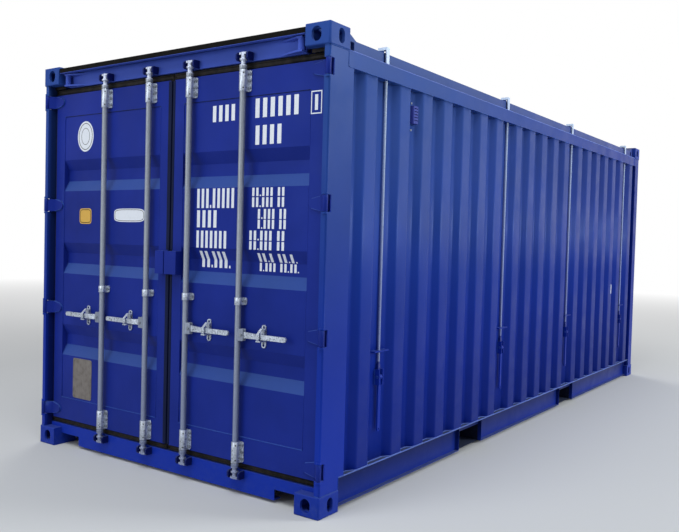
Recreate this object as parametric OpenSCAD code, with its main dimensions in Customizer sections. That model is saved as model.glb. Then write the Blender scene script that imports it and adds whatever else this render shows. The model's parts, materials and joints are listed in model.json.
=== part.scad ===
/* [Overall size] */
// Length over the corner castings
length = 6058; // [5600:1:6600]
// Width over the corner castings
width = 2438; // [2300:1:2600]
// Height over the corner castings
height = 2591; // [2400:1:2900]

/* [Corner castings] */
// Length of a casting along the container
casting_l = 178; // [170:1:200]
// Width of a casting
casting_w = 162; // [150:1:180]
// Height of a casting
casting_h = 118; // [112:1:126]
// Thickness of the top and bottom plates
casting_plate = 28; // [22:1:34]
// Thickness of the end and side walls
casting_wall = 18; // [12:1:22]
// Thickness of the two inner walls
casting_back = 12; // [8:1:13]
// Length of the twist-lock slot
slot_l = 124; // [110:0.5:126]
// Width of the twist-lock slot
slot_w = 63.5; // [55:0.5:66]
// Distance from the end face to the slot centre
slot_in_x = 102.5; // [98:0.5:103]
// Distance from the side face to the slot centre
slot_in_y = 89.5; // [80:0.5:95]
// Width of the opening in the end face
end_hole_w = 63.5; // [50:0.5:70]
// Width of the opening in the side face
side_hole_w = 51; // [40:0.5:60]
// Height of both openings
hole_h = 79; // [65:0.5:84]
// Radius of the upright outer edge
casting_r = 14; // [6:1:20]
// Radius of the outer top and bottom edges
casting_edge_r = 7; // [3:1:10]

/* [Corner posts] */
// How far the castings stand outside the posts and rails
proud = 4; // [2:0.5:8]
// Depth by which pieces of one weldment run into each other
weld = 1; // [0.5:0.1:2]
// Set-back of the post face from the end plane
post_set = 9; // [5:1:14]
// Width of the post face beside the door
post_face_w = 36; // [32:1:40]
// Distance from the post face to the step behind the door
post_step = 106; // [100:1:120]
// Width of the post behind the step
post_back_w = 45; // [43:1:55]
// Depth of the door-end post along the side
door_post_l = 219; // [190:1:240]
// Depth of the front-end post along the side
front_post_l = 129; // [110:1:150]
// Plate thickness of the posts
post_t = 6; // [4:0.5:8]
// Thickness of the heavy inner channel
post_channel_t = 12; // [8:0.5:14]
// Radius of the post's outer corner
post_r = 10; // [6:1:16]

/* [Rails] */
// Height of the underside of the rails above the ground
rail_z0 = 17; // [11:1:25]
// Height of the bottom side rail
bottom_rail_h = 170; // [150:1:180]
// Width of the top flange of the bottom side rail
bottom_rail_top_w = 48; // [44:1:60]
// Width of the bottom flange of the bottom side rail
bottom_rail_lip_w = 30; // [20:1:40]
// Plate thickness of the bottom side rail
bottom_rail_t = 4.5; // [3:0.5:6]
// Height of the top side rail
top_rail_h = 89; // [70:1:100]
// Width of the top side rail
top_rail_w = 60; // [54:1:66]
// Wall thickness of the top side rail
top_rail_t = 4; // [3:0.5:6]
// How far the top side rail stands above the underside of the top castings
top_rail_rise = 3; // [0:1:6]

/* [Side walls] */
// Thickness of the wall sheet
sheet_t = 2; // [1.6:0.1:3]
// Depth of the wall folds
fold_depth = 36; // [30:1:40]
// Width of an outer flat
fold_flat = 114; // [100:1:120]
// Length of a slope along the wall
fold_slope = 50; // [40:1:55]
// Spacing of the folds
fold_pitch = 275; // [260:1:280]
// Spacing across a wide recess, which takes a tie rod
wide_pitch = 370; // [350:1:376]
// Folds in the middle group
mid_folds = 5; // [3:2:5]
// Least flat left between the last fold of a wall and its post
fold_end = 40; // [20:1:60]

/* [Front wall] */
// Depth of the front wall folds
front_depth = 46; // [30:1:50]
// Width of an outer flat of the front wall
front_flat = 110; // [90:1:120]
// Length of a slope of the front wall
front_slope = 18; // [14:1:24]
// Spacing of the front wall folds
front_pitch = 250; // [240:1:270]
// Least flat left between the last fold of the front wall and its post
front_fold_end = 20; // [10:1:60]
// Set-back of the front wall from the end plane
front_set = 12; // [8:1:20]

/* [End rails] */
// Height of the end sills
sill_h = 125; // [110:1:135]
// Plate thickness of the end sills
sill_t = 6; // [4:0.5:8]
// Depth of the door sill's top flange
sill_top_w = 98; // [80:1:110]
// Depth of the sills' bottom flange
sill_lip_w = 58; // [40:1:70]
// Width of the cut-away at each end of the door sill
sill_notch_w = 190; // [150:1:220]
// Height of the cut-away at each end of the door sill
sill_notch_h = 62; // [40:1:80]
// Set-back of the end rails behind the door face
rail_set = 2; // [1:0.5:6]
// How far the front rails stand outside the front wall
front_rail_out = 2; // [1:0.5:4]
// How far the end rails hang below the top castings
header_drop = 18; // [10:1:30]
// Height of the door header
header_h = 95; // [85:1:98]
// Depth of the door header
header_d = 88; // [70:1:100]
// Wall thickness of the end rails
header_t = 5; // [3:0.5:8]
// Gap between the header and the castings
header_gap = 37; // [20:1:50]
// Length of the tapered lugs on each end of the header
header_lug_l = 178; // [120:1:200]
// Reach of the header's lugs in front of its face
header_lug_out = 42; // [30:1:50]
// Thickness of the header's lugs
header_lug_t = 10; // [8:1:14]
// Clearance between the lower lug and the bottom of the header
header_lug_rise = 3; // [2:0.5:8]
// Radius of the hinge tube between the lugs
header_tube_r = 19; // [14:0.5:22]
// Radius of the pin through each end of the header
header_pin_r = 12; // [8:1:15]
// Depth of the inner lugs inside the header
header_tongue = 25; // [15:1:40]
// Depth of the front top rail
front_rail_d = 60; // [50:1:80]
// Clearance between the header's lugs and the black strip of the roof
header_lug_gap = 5; // [3:0.5:8]

/* [Floor] */
// Thickness of the floor boards
floor_t = 28; // [24:1:34]
// Gap between the floor boards and the side rails
floor_gap = 2; // [0.5:0.5:5]
// Gap between the floor boards and the step of the door posts
floor_end_gap = 5; // [2:1:12]
// Height of the cross members
cross_h = 122; // [105:1:124]
// Flange width of the cross members
cross_w = 45; // [40:1:60]
// Plate thickness of the cross members
cross_t = 4; // [3:0.5:6]
// Cross members between the door end and the first pocket
cross_a = 5; // [3:1:6]
// Cross members between the pockets
cross_b = 5; // [3:1:6]
// Cross members between the second pocket and the front end
cross_c = 6; // [4:1:7]

/* [Fork pockets] */
// Clear width of a fork pocket
pocket_w = 360; // [340:1:380]
// Spacing of the two fork pockets
pocket_pitch = 2020; // [1950:1:2100]
// How far the pair of pockets stands off the middle, towards the doors
pocket_shift = 165; // [100:1:180]
// Plate thickness of the pockets
pocket_t = 4.5; // [3:0.5:6]
// Length of the strap under each pocket mouth
pocket_strap = 200; // [150:1:250]

/* [Doors] */
// Set-back of the door face from the end plane
door_set = 60; // [56:1:64]
// Thickness of a door leaf
door_t = 50; // [44:1:52]
// Gap between a leaf and the post
door_side_gap = 29; // [26:1:32]
// Gap between the two leaves
door_mid_gap = 40; // [34:1:46]
// Gap between the sill and the leaf
door_foot_gap = 39; // [30:1:45]
// Gap between the leaf and the header
door_head_gap = 45; // [35:1:50]
// Width of the upright on the hinge side
stile_hinge_w = 90; // [80:1:110]
// Width of the upright in the middle
stile_mid_w = 80; // [70:1:100]
// Height of the leaf's top and bottom rails
door_rail_h = 150; // [120:1:170]
// Wall thickness of the leaf's frame
door_frame_t = 3; // [2:0.5:5]
// Set-back of the door panel from the leaf's frame
panel_set = 2; // [1:0.5:6]
// Height of a trough in the door panel
trough_h = 212; // [180:1:240]
// Height of a trough's slope
trough_slope = 70; // [55:1:85]
// Depth of a trough
trough_depth = 36; // [25:1:40]
// Spacing of the troughs
trough_pitch = 563; // [520:1:600]
// Number of troughs
troughs = 3; // [2:1:3]
// Set-back of the door gasket from the door face
gasket_set = 15; // [8:1:22]
// Depth of the door gasket
gasket_d = 22; // [14:1:26]
// Clearance around the door gasket
seal_gap = 5; // [3:0.5:8]

/* [Hinges] */
// Distance from the leaf's foot to the lowest hinge
hinge_foot = 64; // [60:1:90]
// Distance from the leaf's head to the highest hinge
hinge_head = 47; // [45:1:90]
// Hinges on a door
hinges = 4; // [3:1:4]
// Distance from the end plane to the pin axis
pin_in_x = 16; // [15.5:0.5:18]
// Distance from the side plane to the pin axis
pin_in_y = 18; // [17:0.5:20]
// Radius of a hinge pin
pin_r = 8.5; // [6:0.5:10]
// Running clearance of the pin in the knuckle
pin_gap = 0.5; // [0.2:0.1:1]
// Radius of the knuckle
knuckle_r = 14.5; // [12:0.5:15]
// Height of the hinge knuckle
knuckle_h = 86; // [70:1:100]
// End clearance of the knuckle between its lugs
knuckle_gap = 2; // [1:0.5:4]
// Thickness of the lugs on the post
lug_t = 12; // [8:1:16]
// Thickness of the hinge blade
blade_t = 10; // [8:1:12]
// Length of the hinge blade on the leaf
blade_l = 83; // [60:1:100]
// Height of the blade at the leaf's edge
blade_root_h = 82; // [60:1:86]
// Height of the blade at its tip
blade_tip_h = 50; // [30:1:60]
// How far the blade's crank runs past the knuckle
blade_lead = 2; // [1:0.5:4]
// How far the blade's front flat starts before the leaf's edge
blade_front = 2; // [1:0.5:5]
// How far the blade's back flat starts before the leaf's edge
blade_rear = 6; // [4:0.5:10]
// Depth of the hinge pocket in the post
pocket_d = 40; // [38:1:44]

/* [Locking gear] */
// Distance from the end plane to the axis of the lock rods
rod_in = 29; // [27:0.5:30]
// Radius of a lock rod
rod_r = 17; // [14:0.5:18]
// Distance from the middle to the inner rods
rod_y_inner = 177; // [165:1:220]
// Distance from the middle to the outer rods
rod_y_outer = 600; // [580:1:640]
// Radius of the cam at the ends of a rod
cam_r = 26; // [22:0.5:27]
// Thickness of the cam's horns
cam_horn = 20; // [14:1:26]
// Height of a cam
cam_h = 45; // [35:1:50]
// Depth of the crown between a cam's horns
cam_crown = 12; // [8:1:18]
// Radius of a cam's core and of the neck beside it
cam_core_r = 14; // [10:0.5:16]
// Radius of a cam's flange
cam_flange_r = 21; // [18:0.5:22]
// Height of a cam's flange
cam_flange_h = 10; // [6:1:14]
// Clearance between a cam and the end rail beside it
cam_gap = 2; // [1:0.5:6]
// Clearance between a cam and its keeper
keeper_gap = 8; // [6:0.5:9]
// Thickness of a keeper prong
keeper_t = 12; // [8:1:16]
// Height of a keeper
keeper_h = 46; // [35:1:55]
// Bevel of a keeper's nose
keeper_nose = 10; // [4:1:16]
// Distance from the end plane to a keeper's nose
keeper_in = 12; // [6:1:18]
// Running clearance of a rod in its bearings
bearing_gap = 0.5; // [0.3:0.1:2]
// Outer radius of a bearing
bearing_r = 22; // [20:0.5:24]
// Height of the top and bottom bearings
bearing_h = 120; // [100:1:130]
// Width of a bearing's base plate
bearing_w = 80; // [70:1:90]
// Thickness of a bearing's base plate
bearing_t = 6; // [4:0.5:8]
// Radius of the corners of a bearing's base plate
bearing_corner = 12; // [6:1:14]
// Distance from the leaf's foot and head to the nearest bearing
bearing_end = 5; // [4:0.5:12]
// Height of the middle guide above the ground
guide_z = 1107; // [1060:1:1130]
// Height of the middle guide
guide_h = 42; // [30:1:50]
// Outer radius of the collars on a rod
collar_r = 22; // [19:0.5:24]
// Height of a collar
collar_h = 24; // [14:1:28]
// Clearance between a collar and its bearing
collar_gap = 2; // [1:0.5:4]

/* [Handles] */
// Height of the handles above the ground
handle_z = 920; // [900:1:940]
// Distance from the rod axis to the handle's end
handle_l = 362; // [330:1:380]
// Height of the handle's grip
handle_h = 28; // [22:1:32]
// Height of the handle where it leaves the ears
handle_root_h = 36; // [30:1:44]
// Distance from the rod axis to where the handle has tapered to its grip
handle_taper = 160; // [130:1:180]
// Thickness of the handle bar
handle_t = 14; // [10:1:15]
// Distance from the rod axis to the handle's pivot
handle_pivot = 37; // [36:0.5:42]
// Radius of the handle's pivot pin
handle_pin_r = 5; // [4:0.5:7]
// Clearance of the handle between its ears
ear_gap = 2; // [0.5:0.5:2.5]
// Thickness of an ear
ear_t = 4; // [3:0.5:6]
// Height of an ear
ear_h = 68; // [40:1:80]
// Distance from the rod axis to an ear's outer edge
ear_l = 51; // [48:0.5:56]
// Rounding of an ear's corners
ear_r = 6; // [3:1:12]
// Distance from the rod axis to the start of the handle's crank
crank_start = 72; // [64:1:90]
// Length of the handle's crank
crank_l = 32; // [24:1:40]
// How far the grip is cranked away from the door
handle_crank = 9; // [4:1:12]
// Distance from the rod axis to a handle rest
rest_off = 172; // [150:1:200]
// Width of a handle rest
rest_w = 30; // [22:1:36]
// Height of a handle rest
rest_h = 130; // [110:1:150]
// Gap between a handle and its rest
rest_gap = 6; // [5:0.5:8]
// Thickness of the rest's cradle
rest_t = 8; // [5:0.5:10]
// Thickness of the rest's upright tongue
tongue_t = 5; // [3:0.5:6]
// Distance from the top of the rest to its upper tab
tab_drop = 24; // [18:1:30]
// Thickness of the rest's upper tab
tab_t = 8; // [5:0.5:12]
// Distance from the end plane to the lip of the cradle
rest_in = 4; // [3:0.5:8]
// Radius of the holes in a rest's plate
rest_hole_r = 8; // [5:0.5:9]

/* [Lock box] */
// Height of the underside of the lock box
box_z0 = 1234; // [1200:1:1260]
// Height of the lock box
box_h = 140; // [120:1:150]
// Reach of the lock box on the right leaf
box_right = 104; // [90:1:120]
// Reach of the lock box on the left leaf
box_left = 78; // [60:1:100]
// Half of the gap between the two parts of the lock box
box_half_gap = 4; // [3:0.5:6]
// Distance from the end plane to the face of the lock box
box_in = 10; // [6:1:20]
// Plate thickness of the lock box
box_t = 5; // [3:0.5:8]

/* [Roof] */
// Thickness of the roof seal on the rails
roof_seal_t = 4; // [2:0.5:6]
// Height of the roof's side members
roof_side_h = 65; // [50:1:70]
// Width of the roof's side members
roof_side_w = 84; // [80:1:100]
// Distance from the rail's outer face to the roof's side member
roof_side_in = 31; // [28:1:34]
// Wall thickness of the roof's side members
roof_t = 4; // [3:0.5:6]
// Clearance between the roof and the top castings
roof_gap = 6; // [5:0.5:10]
// Thickness of the roof over the header
roof_end_h = 24; // [18:1:26]
// Rise of the roof's end at the middle
roof_camber = 8; // [4:1:9]
// Clearance between the header and the roof's end
roof_end_gap = 3; // [1:0.5:4]
// Width of the roof's cross beam
roof_beam_w = 60; // [50:1:80]
// Depth of the roof panel's folds
roof_fold = 20; // [14:1:22]
// Spacing of the roof panel's folds
roof_pitch = 209; // [180:1:240]
// Width of a high flat on the roof panel
roof_flat = 90; // [70:1:100]
// Length of a slope on the roof panel
roof_slope = 14; // [10:1:20]
// How far the roof panel rests on the side members
panel_lap = 26; // [15:1:28]
// Height of the black strip at the roof's ends
strip_h = 33; // [28:1:36]
// Thickness of the black strip at the roof's ends
strip_t = 34; // [20:1:38]
// Height of the corner blocks on the roof's side members
roof_block_h = 34; // [20:1:38]
// Length of the level top of a corner block
roof_block_l = 34; // [24:1:50]
// Length of the corner block's slope
roof_block_slope = 72; // [40:1:80]
// Distance from the end of a side member to its notch
notch_in = 49; // [44:1:56]
// Length of the notch at the end of a side member
notch_l = 36; // [24:1:44]
// Height of the notch at the end of a side member
notch_h = 56; // [40:1:58]
// Depth of the notch at the end of a side member
notch_d = 22; // [12:1:30]
// How far the roof panel rests on the cross beams
panel_end_lap = 50; // [20:1:54]
// Least flat left between the last fold of the roof panel and its end
roof_fold_end = 8; // [6:1:60]
// Distance from the end plane to the black strip
strip_in = 4; // [3:0.5:8]
// How far the black strip stands above the roof's end
strip_rise = 1; // [0.5:0.5:3]
// Set-back of the roof's seals from the edge of the side member
roof_seal_in = 4; // [2:0.5:8]

/* [Tie rods] */
// Radius of a tie rod
tie_r = 7.5; // [6:0.5:9]
// Distance from the rail's outer face to the tie rod axis
tie_in = 25; // [24:0.5:27]
// Radius of the rail's hole round a tie rod
tie_hole_r = 12.5; // [11:0.5:14]
// Height of a hook's top above the rail
hook_rise = 103; // [100:1:106]
// Thickness of a hook
hook_h = 17; // [12:1:20]
// Width of a hook
hook_w = 30; // [24:1:34]
// Reach of a hook from the tie rod axis
hook_l = 52; // [44:1:54]
// Thickness of the flat shank under a hook
shank_t = 5; // [4:0.5:7]
// Gap between the rail's top and a hook's shank
shank_gap = 6; // [5:0.5:10]
// Clearance around a hook in the roof's edge
hook_gap = 6; // [5:0.5:9]
// Thickness of the lugs beside a hook
hook_lug_t = 12; // [8:1:16]
// Height of the lugs beside a hook
hook_lug_h = 12; // [8:1:14]
// Set-back of the lugs from the end of the hook's slot
hook_lug_in = 12; // [4:1:20]
// Height of a lever's pivot above the ground
lever_z = 678; // [650:1:700]
// Distance from the rail's outer face to the lever's pivot
lever_in = 17; // [16:0.5:18]
// Radius of a lever's hub
lever_hub_r = 15; // [12:0.5:16]
// Radius of a lever's pivot pin
lever_pin_r = 6; // [5:0.5:8]
// Running clearance of the lever on its pin
lever_pin_gap = 0.5; // [0.2:0.1:1]
// Distance from the pivot to the lever's end
lever_l = 318; // [280:1:330]
// Width of a lever
lever_w = 26; // [20:1:30]
// Thickness of a lever
lever_t = 10; // [8:1:12]
// Radius of the hole near a lever's end
lever_hole_r = 6; // [4:0.5:8]
// Gap between a lever's hub and the cheeks
cheek_gap = 3; // [1:0.5:5]
// Thickness of the cheeks
cheek_t = 6; // [4:0.5:8]
// Distance from the rail's outer face to the cheeks and the rod guide
cheek_in = 2; // [1:0.5:4]
// Height of the cheeks
cheek_h = 92; // [80:1:110]
// Height of the rod's lower clevis above the pivot
clevis_rise = 26; // [22:1:32]
// Height of the rod's lower clevis
clevis_h = 48; // [40:1:52]
// Width of the rod's lower clevis
clevis_w = 20; // [16:1:24]
// How far the hook runs past the rod on its outer side
hook_heel = 8.5; // [8:0.5:11]
// Height of the rod guide above the pivot
guide_rise = 148; // [130:1:160]
// Thickness of the rod guide
tie_guide_t = 7; // [5:1:12]
// Gap between the rod guide's ends and the slopes of its recess
tie_guide_side = 3; // [2:0.5:20]
// Running clearance of a tie rod in its guide
tie_guide_gap = 0.5; // [0.3:0.1:2]

/* [Wall vents] */
// Width of a vent
vent_w = 60; // [44:1:61]
// Height of a vent
vent_h = 106; // [90:1:140]
// Distance from a vent's top to the top side rail
vent_drop = 95; // [70:1:140]
// Depth of a vent
vent_d = 30; // [20:1:34]
// Bevel of a vent's upright edges
vent_bevel = 5; // [3:0.5:8]
// Thickness of a vent's louvre slots
vent_slot = 5; // [3:0.5:8]
// Depth of a vent's louvre slots
vent_slot_d = 10; // [5:1:14]
// Distance from a vent's edge to its louvre slots
vent_margin = 9; // [6:1:14]
// Number of louvre slots
vent_slots = 5; // [3:1:6]

/* [Hidden] */
$fn = 48;

blue = "#2334a0";
galvanised = "#b9bec4";
rubber = "#15151a";
timber = "#8a6743";

// Overshoot of a cut past the faces it opens
over = 1;

// Planes of the door end and of the near side
xe = -length / 2;
ys = -width / 2;
face_y = ys + proud;
post_x = xe + post_set;
door_post_x = post_x + door_post_l;
front_post_x = -post_x - front_post_l;
post_inner_y = face_y + post_face_w;
post_back_y = face_y + post_back_w;
top_z = height - casting_h;
wall_z0 = rail_z0 + bottom_rail_h;
rail_top_z = top_z + top_rail_rise;
wall_z1 = rail_top_z - top_rail_h;
web_y = face_y + bottom_rail_top_w;
sill_z = rail_z0 + sill_h;
header_z0 = top_z - header_drop;
header_z1 = header_z0 + header_h;
header_x = xe + door_set + rail_set;
header_y = ys + casting_w + header_gap;
wall_mid = (door_post_x + front_post_x) / 2;
pocket_xs = [-pocket_shift - pocket_pitch / 2, -pocket_shift + pocket_pitch / 2];
pocket_top = sill_z - floor_gap;
front_rail_x = -xe - front_set + front_rail_out;
front_folds = floor((-2 * (post_back_y + front_fold_end) - front_flat - 2 * front_slope) / front_pitch) + 1;

// Door leaf on the near side, before mirroring
door_x = xe + door_set;
panel_x = door_x + panel_set;
leaf_y0 = post_inner_y + door_side_gap;
leaf_y1 = -door_mid_gap / 2;
leaf_z0 = sill_z + door_foot_gap;
leaf_z1 = header_z0 - door_head_gap;
leaf_mid_z = (leaf_z0 + leaf_z1) / 2;
hinge_pitch = (leaf_z1 - hinge_head - leaf_z0 - hinge_foot) / (hinges - 1);
hinge_zs = [for (i = [0:hinges - 1]) leaf_z0 + hinge_foot + i * hinge_pitch];
pin_x = xe + pin_in_x;
pin_y = ys + pin_in_y;
rod_x = xe + rod_in;
rod_ys = [-rod_y_inner, -rod_y_outer];
cam_top_z = header_z0 + cam_gap;
cam_foot_z = sill_z - cam_gap - cam_h;

// Tie rods stand in the wide recesses
wide_mid = (mid_folds - 1) / 2 * fold_pitch + wide_pitch / 2;
fold_room = (front_post_x - door_post_x) / 2 - fold_end - fold_slope - fold_flat / 2;
group_folds = floor((fold_room - wide_mid - 1.5 * wide_pitch) / fold_pitch) + 1;
wide_end = wide_mid + wide_pitch + (group_folds - 1) * fold_pitch;
tie_xs = [for (d = [-wide_end, -wide_mid, wide_mid, wide_end]) wall_mid + d];
tie_y = face_y + tie_in;
guide_half = (wide_pitch - fold_flat) / 2 - fold_slope - tie_guide_side;
lever_y = face_y + lever_in;
recess_y = face_y + fold_depth;
fold_centres = [for (d = concat(
    [-wide_end - wide_pitch / 2],
    [for (i = [0:group_folds - 1]) -wide_end + wide_pitch / 2 + i * fold_pitch],
    [for (i = [0:mid_folds - 1]) (i - (mid_folds - 1) / 2) * fold_pitch],
    [for (i = [0:group_folds - 1]) wide_mid + wide_pitch / 2 + i * fold_pitch],
    [wide_end + wide_pitch / 2])) wall_mid + d];

// Roof levels
roof_z0 = rail_top_z + roof_seal_t;
roof_side_z1 = roof_z0 + roof_side_h;
roof_y0 = face_y + roof_side_in;
roof_y1 = roof_y0 + roof_side_w;
roof_x0 = xe + casting_l + roof_gap;
roof_end_y = ys + casting_w + roof_gap;
roof_end_z0 = header_z1 + roof_end_gap;
roof_end_z1 = roof_end_z0 + roof_end_h;
strip_z1 = roof_end_z1 + strip_rise;
strip_z0 = strip_z1 - strip_h;
hook_z1 = rail_top_z + hook_rise;
panel_x0 = roof_x0 + roof_beam_w - panel_end_lap;
roof_folds = floor((-2 * (panel_x0 + roof_fold_end) - roof_flat - 2 * roof_slope) / roof_pitch) + 1;

// A block between two opposite corners
module block(lo, hi) {
    translate(lo) cube(hi - lo);
}

// Both sides of the container from the near side's form
module both_sides() {
    children();
    mirror([0, 1, 0]) children();
}

module both_ends() {
    children();
    mirror([1, 0, 0]) children();
}

// A flat outline standing in the plane across the container, thick along its length
module across(x0, x1) {
    translate([x0, 0, 0]) rotate([90, 0, 90]) linear_extrude(x1 - x0) children();
}

// A flat outline standing in the plane along the container, thick across its width
module along(y0, y1) {
    translate([0, y1, 0]) rotate([90, 0, 0]) linear_extrude(y1 - y0) children();
}

// Straight slot outline with round ends, upright
module stadium(w, h) {
    translate([-w / 2, -(h - w) / 2]) square([w, h - w]);
    for (s = [-1, 1]) translate([0, s * (h - w) / 2]) circle(d = w);
}

// Rectangle with four round corners
module rounded(w, h, r) {
    square([w - 2 * r, h], center = true);
    square([w, h - 2 * r], center = true);
    for (i = [-1, 1], j = [-1, 1]) translate([i * (w / 2 - r), j * (h / 2 - r)]) circle(r);
}

// Rectangle with one rounded corner at its origin
module nose_square(size, r) {
    translate([r, 0]) square([size[0] - r, size[1]]);
    translate([0, r]) square([size[0], size[1] - r]);
    translate([r, r]) circle(r);
}

// Casting with its outer corner at the origin and its twist-lock slot in the plate at slot_z
module casting(slot_z) {
    difference() {
        intersection() {
            linear_extrude(casting_h) nose_square([casting_l, casting_w], casting_r);
            rotate([90, 0, 90]) linear_extrude(casting_l) edge_rounded(casting_w);
            translate([0, casting_w, 0]) rotate([90, 0, 0]) linear_extrude(casting_w) edge_rounded(casting_l);
        }
        block([casting_wall, casting_wall, casting_plate],
            [casting_l - casting_back, casting_w - casting_back, casting_h - casting_plate]);
        translate([slot_in_x, slot_in_y, slot_z - over])
            linear_extrude(casting_plate + 2 * over) rotate(90) stadium(slot_w, slot_l);
        translate([-over, slot_in_y, casting_h / 2]) rotate([90, 0, 90])
            linear_extrude(casting_wall + 2 * over) stadium(end_hole_w, hole_h);
        translate([slot_in_x, casting_wall + over, casting_h / 2]) rotate([90, 0, 0])
            linear_extrude(casting_wall + 2 * over) stadium(side_hole_w, hole_h);
    }
}

// Elevation of a casting with its outer top and bottom edges rounded
module edge_rounded(w) {
    r = casting_edge_r;
    translate([r, 0]) square([w - r, casting_h]);
    translate([0, r]) square([w, casting_h - 2 * r]);
    for (z = [r, casting_h - r]) translate([r, z]) circle(r);
}

module bottom_castings() {
    color(blue) both_sides() both_ends() translate([xe, ys, 0]) casting(0);
}

module top_castings() {
    color(blue) both_sides() both_ends() translate([xe, ys, top_z]) casting(casting_h - casting_plate);
}

// Plan of the door post: pressed outer plate and the heavy channel behind the step
module door_post_plan() {
    difference() {
        union() {
            translate([post_x, face_y]) nose_square([door_post_l, post_face_w], post_r);
            translate([post_x + post_step, face_y])
                square([door_post_l - post_step, post_back_w]);
        }
        translate([post_x + post_t, face_y + post_t])
            square([post_step - post_t, post_face_w - 2 * post_t]);
        translate([post_x + post_step + post_channel_t, face_y + post_t])
            square([
                door_post_l - post_step - post_channel_t - post_t,
                post_back_w - post_t - post_channel_t]);
    }
}

// Two lugs and the fixed pin of one hinge
module post_hinge(z) {
    reach = knuckle_h / 2 + knuckle_gap;
    for (s = [-1, 1]) translate([0, 0, z + s * (reach + lug_t / 2) - lug_t / 2]) linear_extrude(lug_t) {
        translate([pin_x, pin_y]) circle(knuckle_r);
        translate([pin_x, face_y]) square([pocket_d, post_face_w]);
    }
    translate([pin_x, pin_y, z - reach - over]) cylinder(r = pin_r, h = 2 * (reach + over));
}

module door_post() {
    reach = knuckle_h / 2 + knuckle_gap;
    color(blue) {
        difference() {
            translate([0, 0, casting_h]) linear_extrude(rail_top_z - casting_h) door_post_plan();
            block([xe + casting_l, ys, 0], [0, 0, wall_z0]);
            block([xe, ys, top_z], [xe + casting_l, 0, height]);
            for (z = hinge_zs)
                block([xe - over, ys - over, z - reach], [post_x + pocket_d, post_inner_y + over, z + reach]);
        }
        for (z = hinge_zs) post_hinge(z);
        // Head plate that closes the corner under the casting
        block([header_x, post_inner_y - weld, header_z0], [post_x + post_step, ys + casting_w, top_z]);
    }
}

// Open pressed post of the front end
module front_posts() {
    color(blue) both_sides() mirror([1, 0, 0]) difference() {
        translate([0, 0, casting_h]) linear_extrude(rail_top_z - casting_h) difference() {
            translate([post_x, face_y]) nose_square([front_post_l, post_back_w], post_r);
            translate([post_x + post_t, face_y + post_t])
                square([front_post_l - 2 * post_t, post_back_w - 2 * post_t]);
        }
        block([xe, ys, top_z], [xe + casting_l, 0, height]);
    }
}

// Channel open to the outside, cut for the fork pockets, with a frame round each mouth
module bottom_side_rail() {
    x0 = xe + casting_l;
    x1 = -x0;
    t = bottom_rail_t;
    color(blue) {
        difference() {
            union() {
                block([x0, web_y - t, rail_z0], [x1, web_y, wall_z0]);
                block([x0, face_y, wall_z0 - t], [x1, web_y, wall_z0]);
                block([x0, web_y - bottom_rail_lip_w, rail_z0], [x1, web_y, rail_z0 + t]);
                // End of the rail that rests on the front casting and meets the post
                block([x1, web_y - t, casting_h], [front_post_x, web_y, wall_z0]);
                block([x1, face_y, wall_z0 - t], [front_post_x, web_y, wall_z0]);
            }
            for (x = pocket_xs)
                block([x - pocket_w / 2, ys, 0], [x + pocket_w / 2, web_y + over, pocket_top]);
        }
        for (x = pocket_xs, s = [-1, 1])
            translate([x + s * (pocket_w + t) / 2 - t / 2, 0, 0])
                block([0, web_y - bottom_rail_lip_w, rail_z0], [t, web_y, wall_z0]);
    }
}

module top_side_rail() {
    t = top_rail_t;
    color(blue) difference() {
        block([door_post_x, face_y, wall_z1], [front_post_x, face_y + top_rail_w, rail_top_z]);
        block([door_post_x - over, face_y + t, wall_z1 + t],
            [front_post_x + over, face_y + top_rail_w - t, rail_top_z - t]);
        block([-xe - casting_l, ys, top_z], [-xe, 0, height]);
        for (x = tie_xs) translate([x, tie_y, wall_z1 - over])
            cylinder(r = tie_hole_r, h = top_rail_h + 2 * over);
    }
}

// Break points of a folded sheet: each fold rises from level a to level b and comes back
function fold_line(centres, flat, slope, a, b, shift) = [for (c = centres) each [
    [c - flat / 2 - slope + shift, a], [c - flat / 2 + shift, b],
    [c + flat / 2 - shift, b], [c + flat / 2 + slope - shift, a]]];

function backwards(v) = [for (i = [len(v) - 1:-1:0]) v[i]];

// Section of a folded sheet from u0 to u1, of even thickness on its flats and slopes
module folded_section(u0, u1, centres, flat, slope, a, b, t) {
    lean = atan(abs(b - a) / slope);
    side = b > a ? -t : t;
    polygon(concat(
        [[u0, a]], fold_line(centres, flat, slope, a, b, 0), [[u1, a], [u1, a + side]],
        backwards(fold_line(centres, flat, slope, a + side, b + side, t * tan(lean / 2))),
        [[u0, a + side]]));
}

module side_wall() {
    color(blue) translate([0, 0, wall_z0]) linear_extrude(wall_z1 - wall_z0)
        folded_section(door_post_x, front_post_x, fold_centres, fold_flat, fold_slope,
            recess_y, face_y, sheet_t);
}

module front_wall() {
    centres = [for (i = [0:front_folds - 1]) (i - (front_folds - 1) / 2) * front_pitch];
    x_out = -xe - front_set;
    color(blue) translate([0, 0, sill_z]) linear_extrude(header_z0 - sill_z) rotate(-90) mirror([1, 0])
        folded_section(post_back_y, -post_back_y, centres, front_flat, front_slope,
            x_out - front_depth, x_out, sheet_t);
}

module front_sill() {
    x1 = front_rail_x;
    depth = front_depth + front_set + sheet_t;
    color(blue) {
        block([x1 - sill_t, ys + casting_w, rail_z0], [x1, -ys - casting_w, sill_z]);
        block([x1 - depth, ys + casting_w, sill_z - sill_t], [x1, -ys - casting_w, sill_z]);
        block([x1 - depth, ys + casting_w, rail_z0], [x1, -ys - casting_w, rail_z0 + sill_t]);
        both_sides() block([x1 - depth, post_back_y, casting_h], [x1, ys + casting_w + weld, sill_z]);
    }
}

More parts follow.
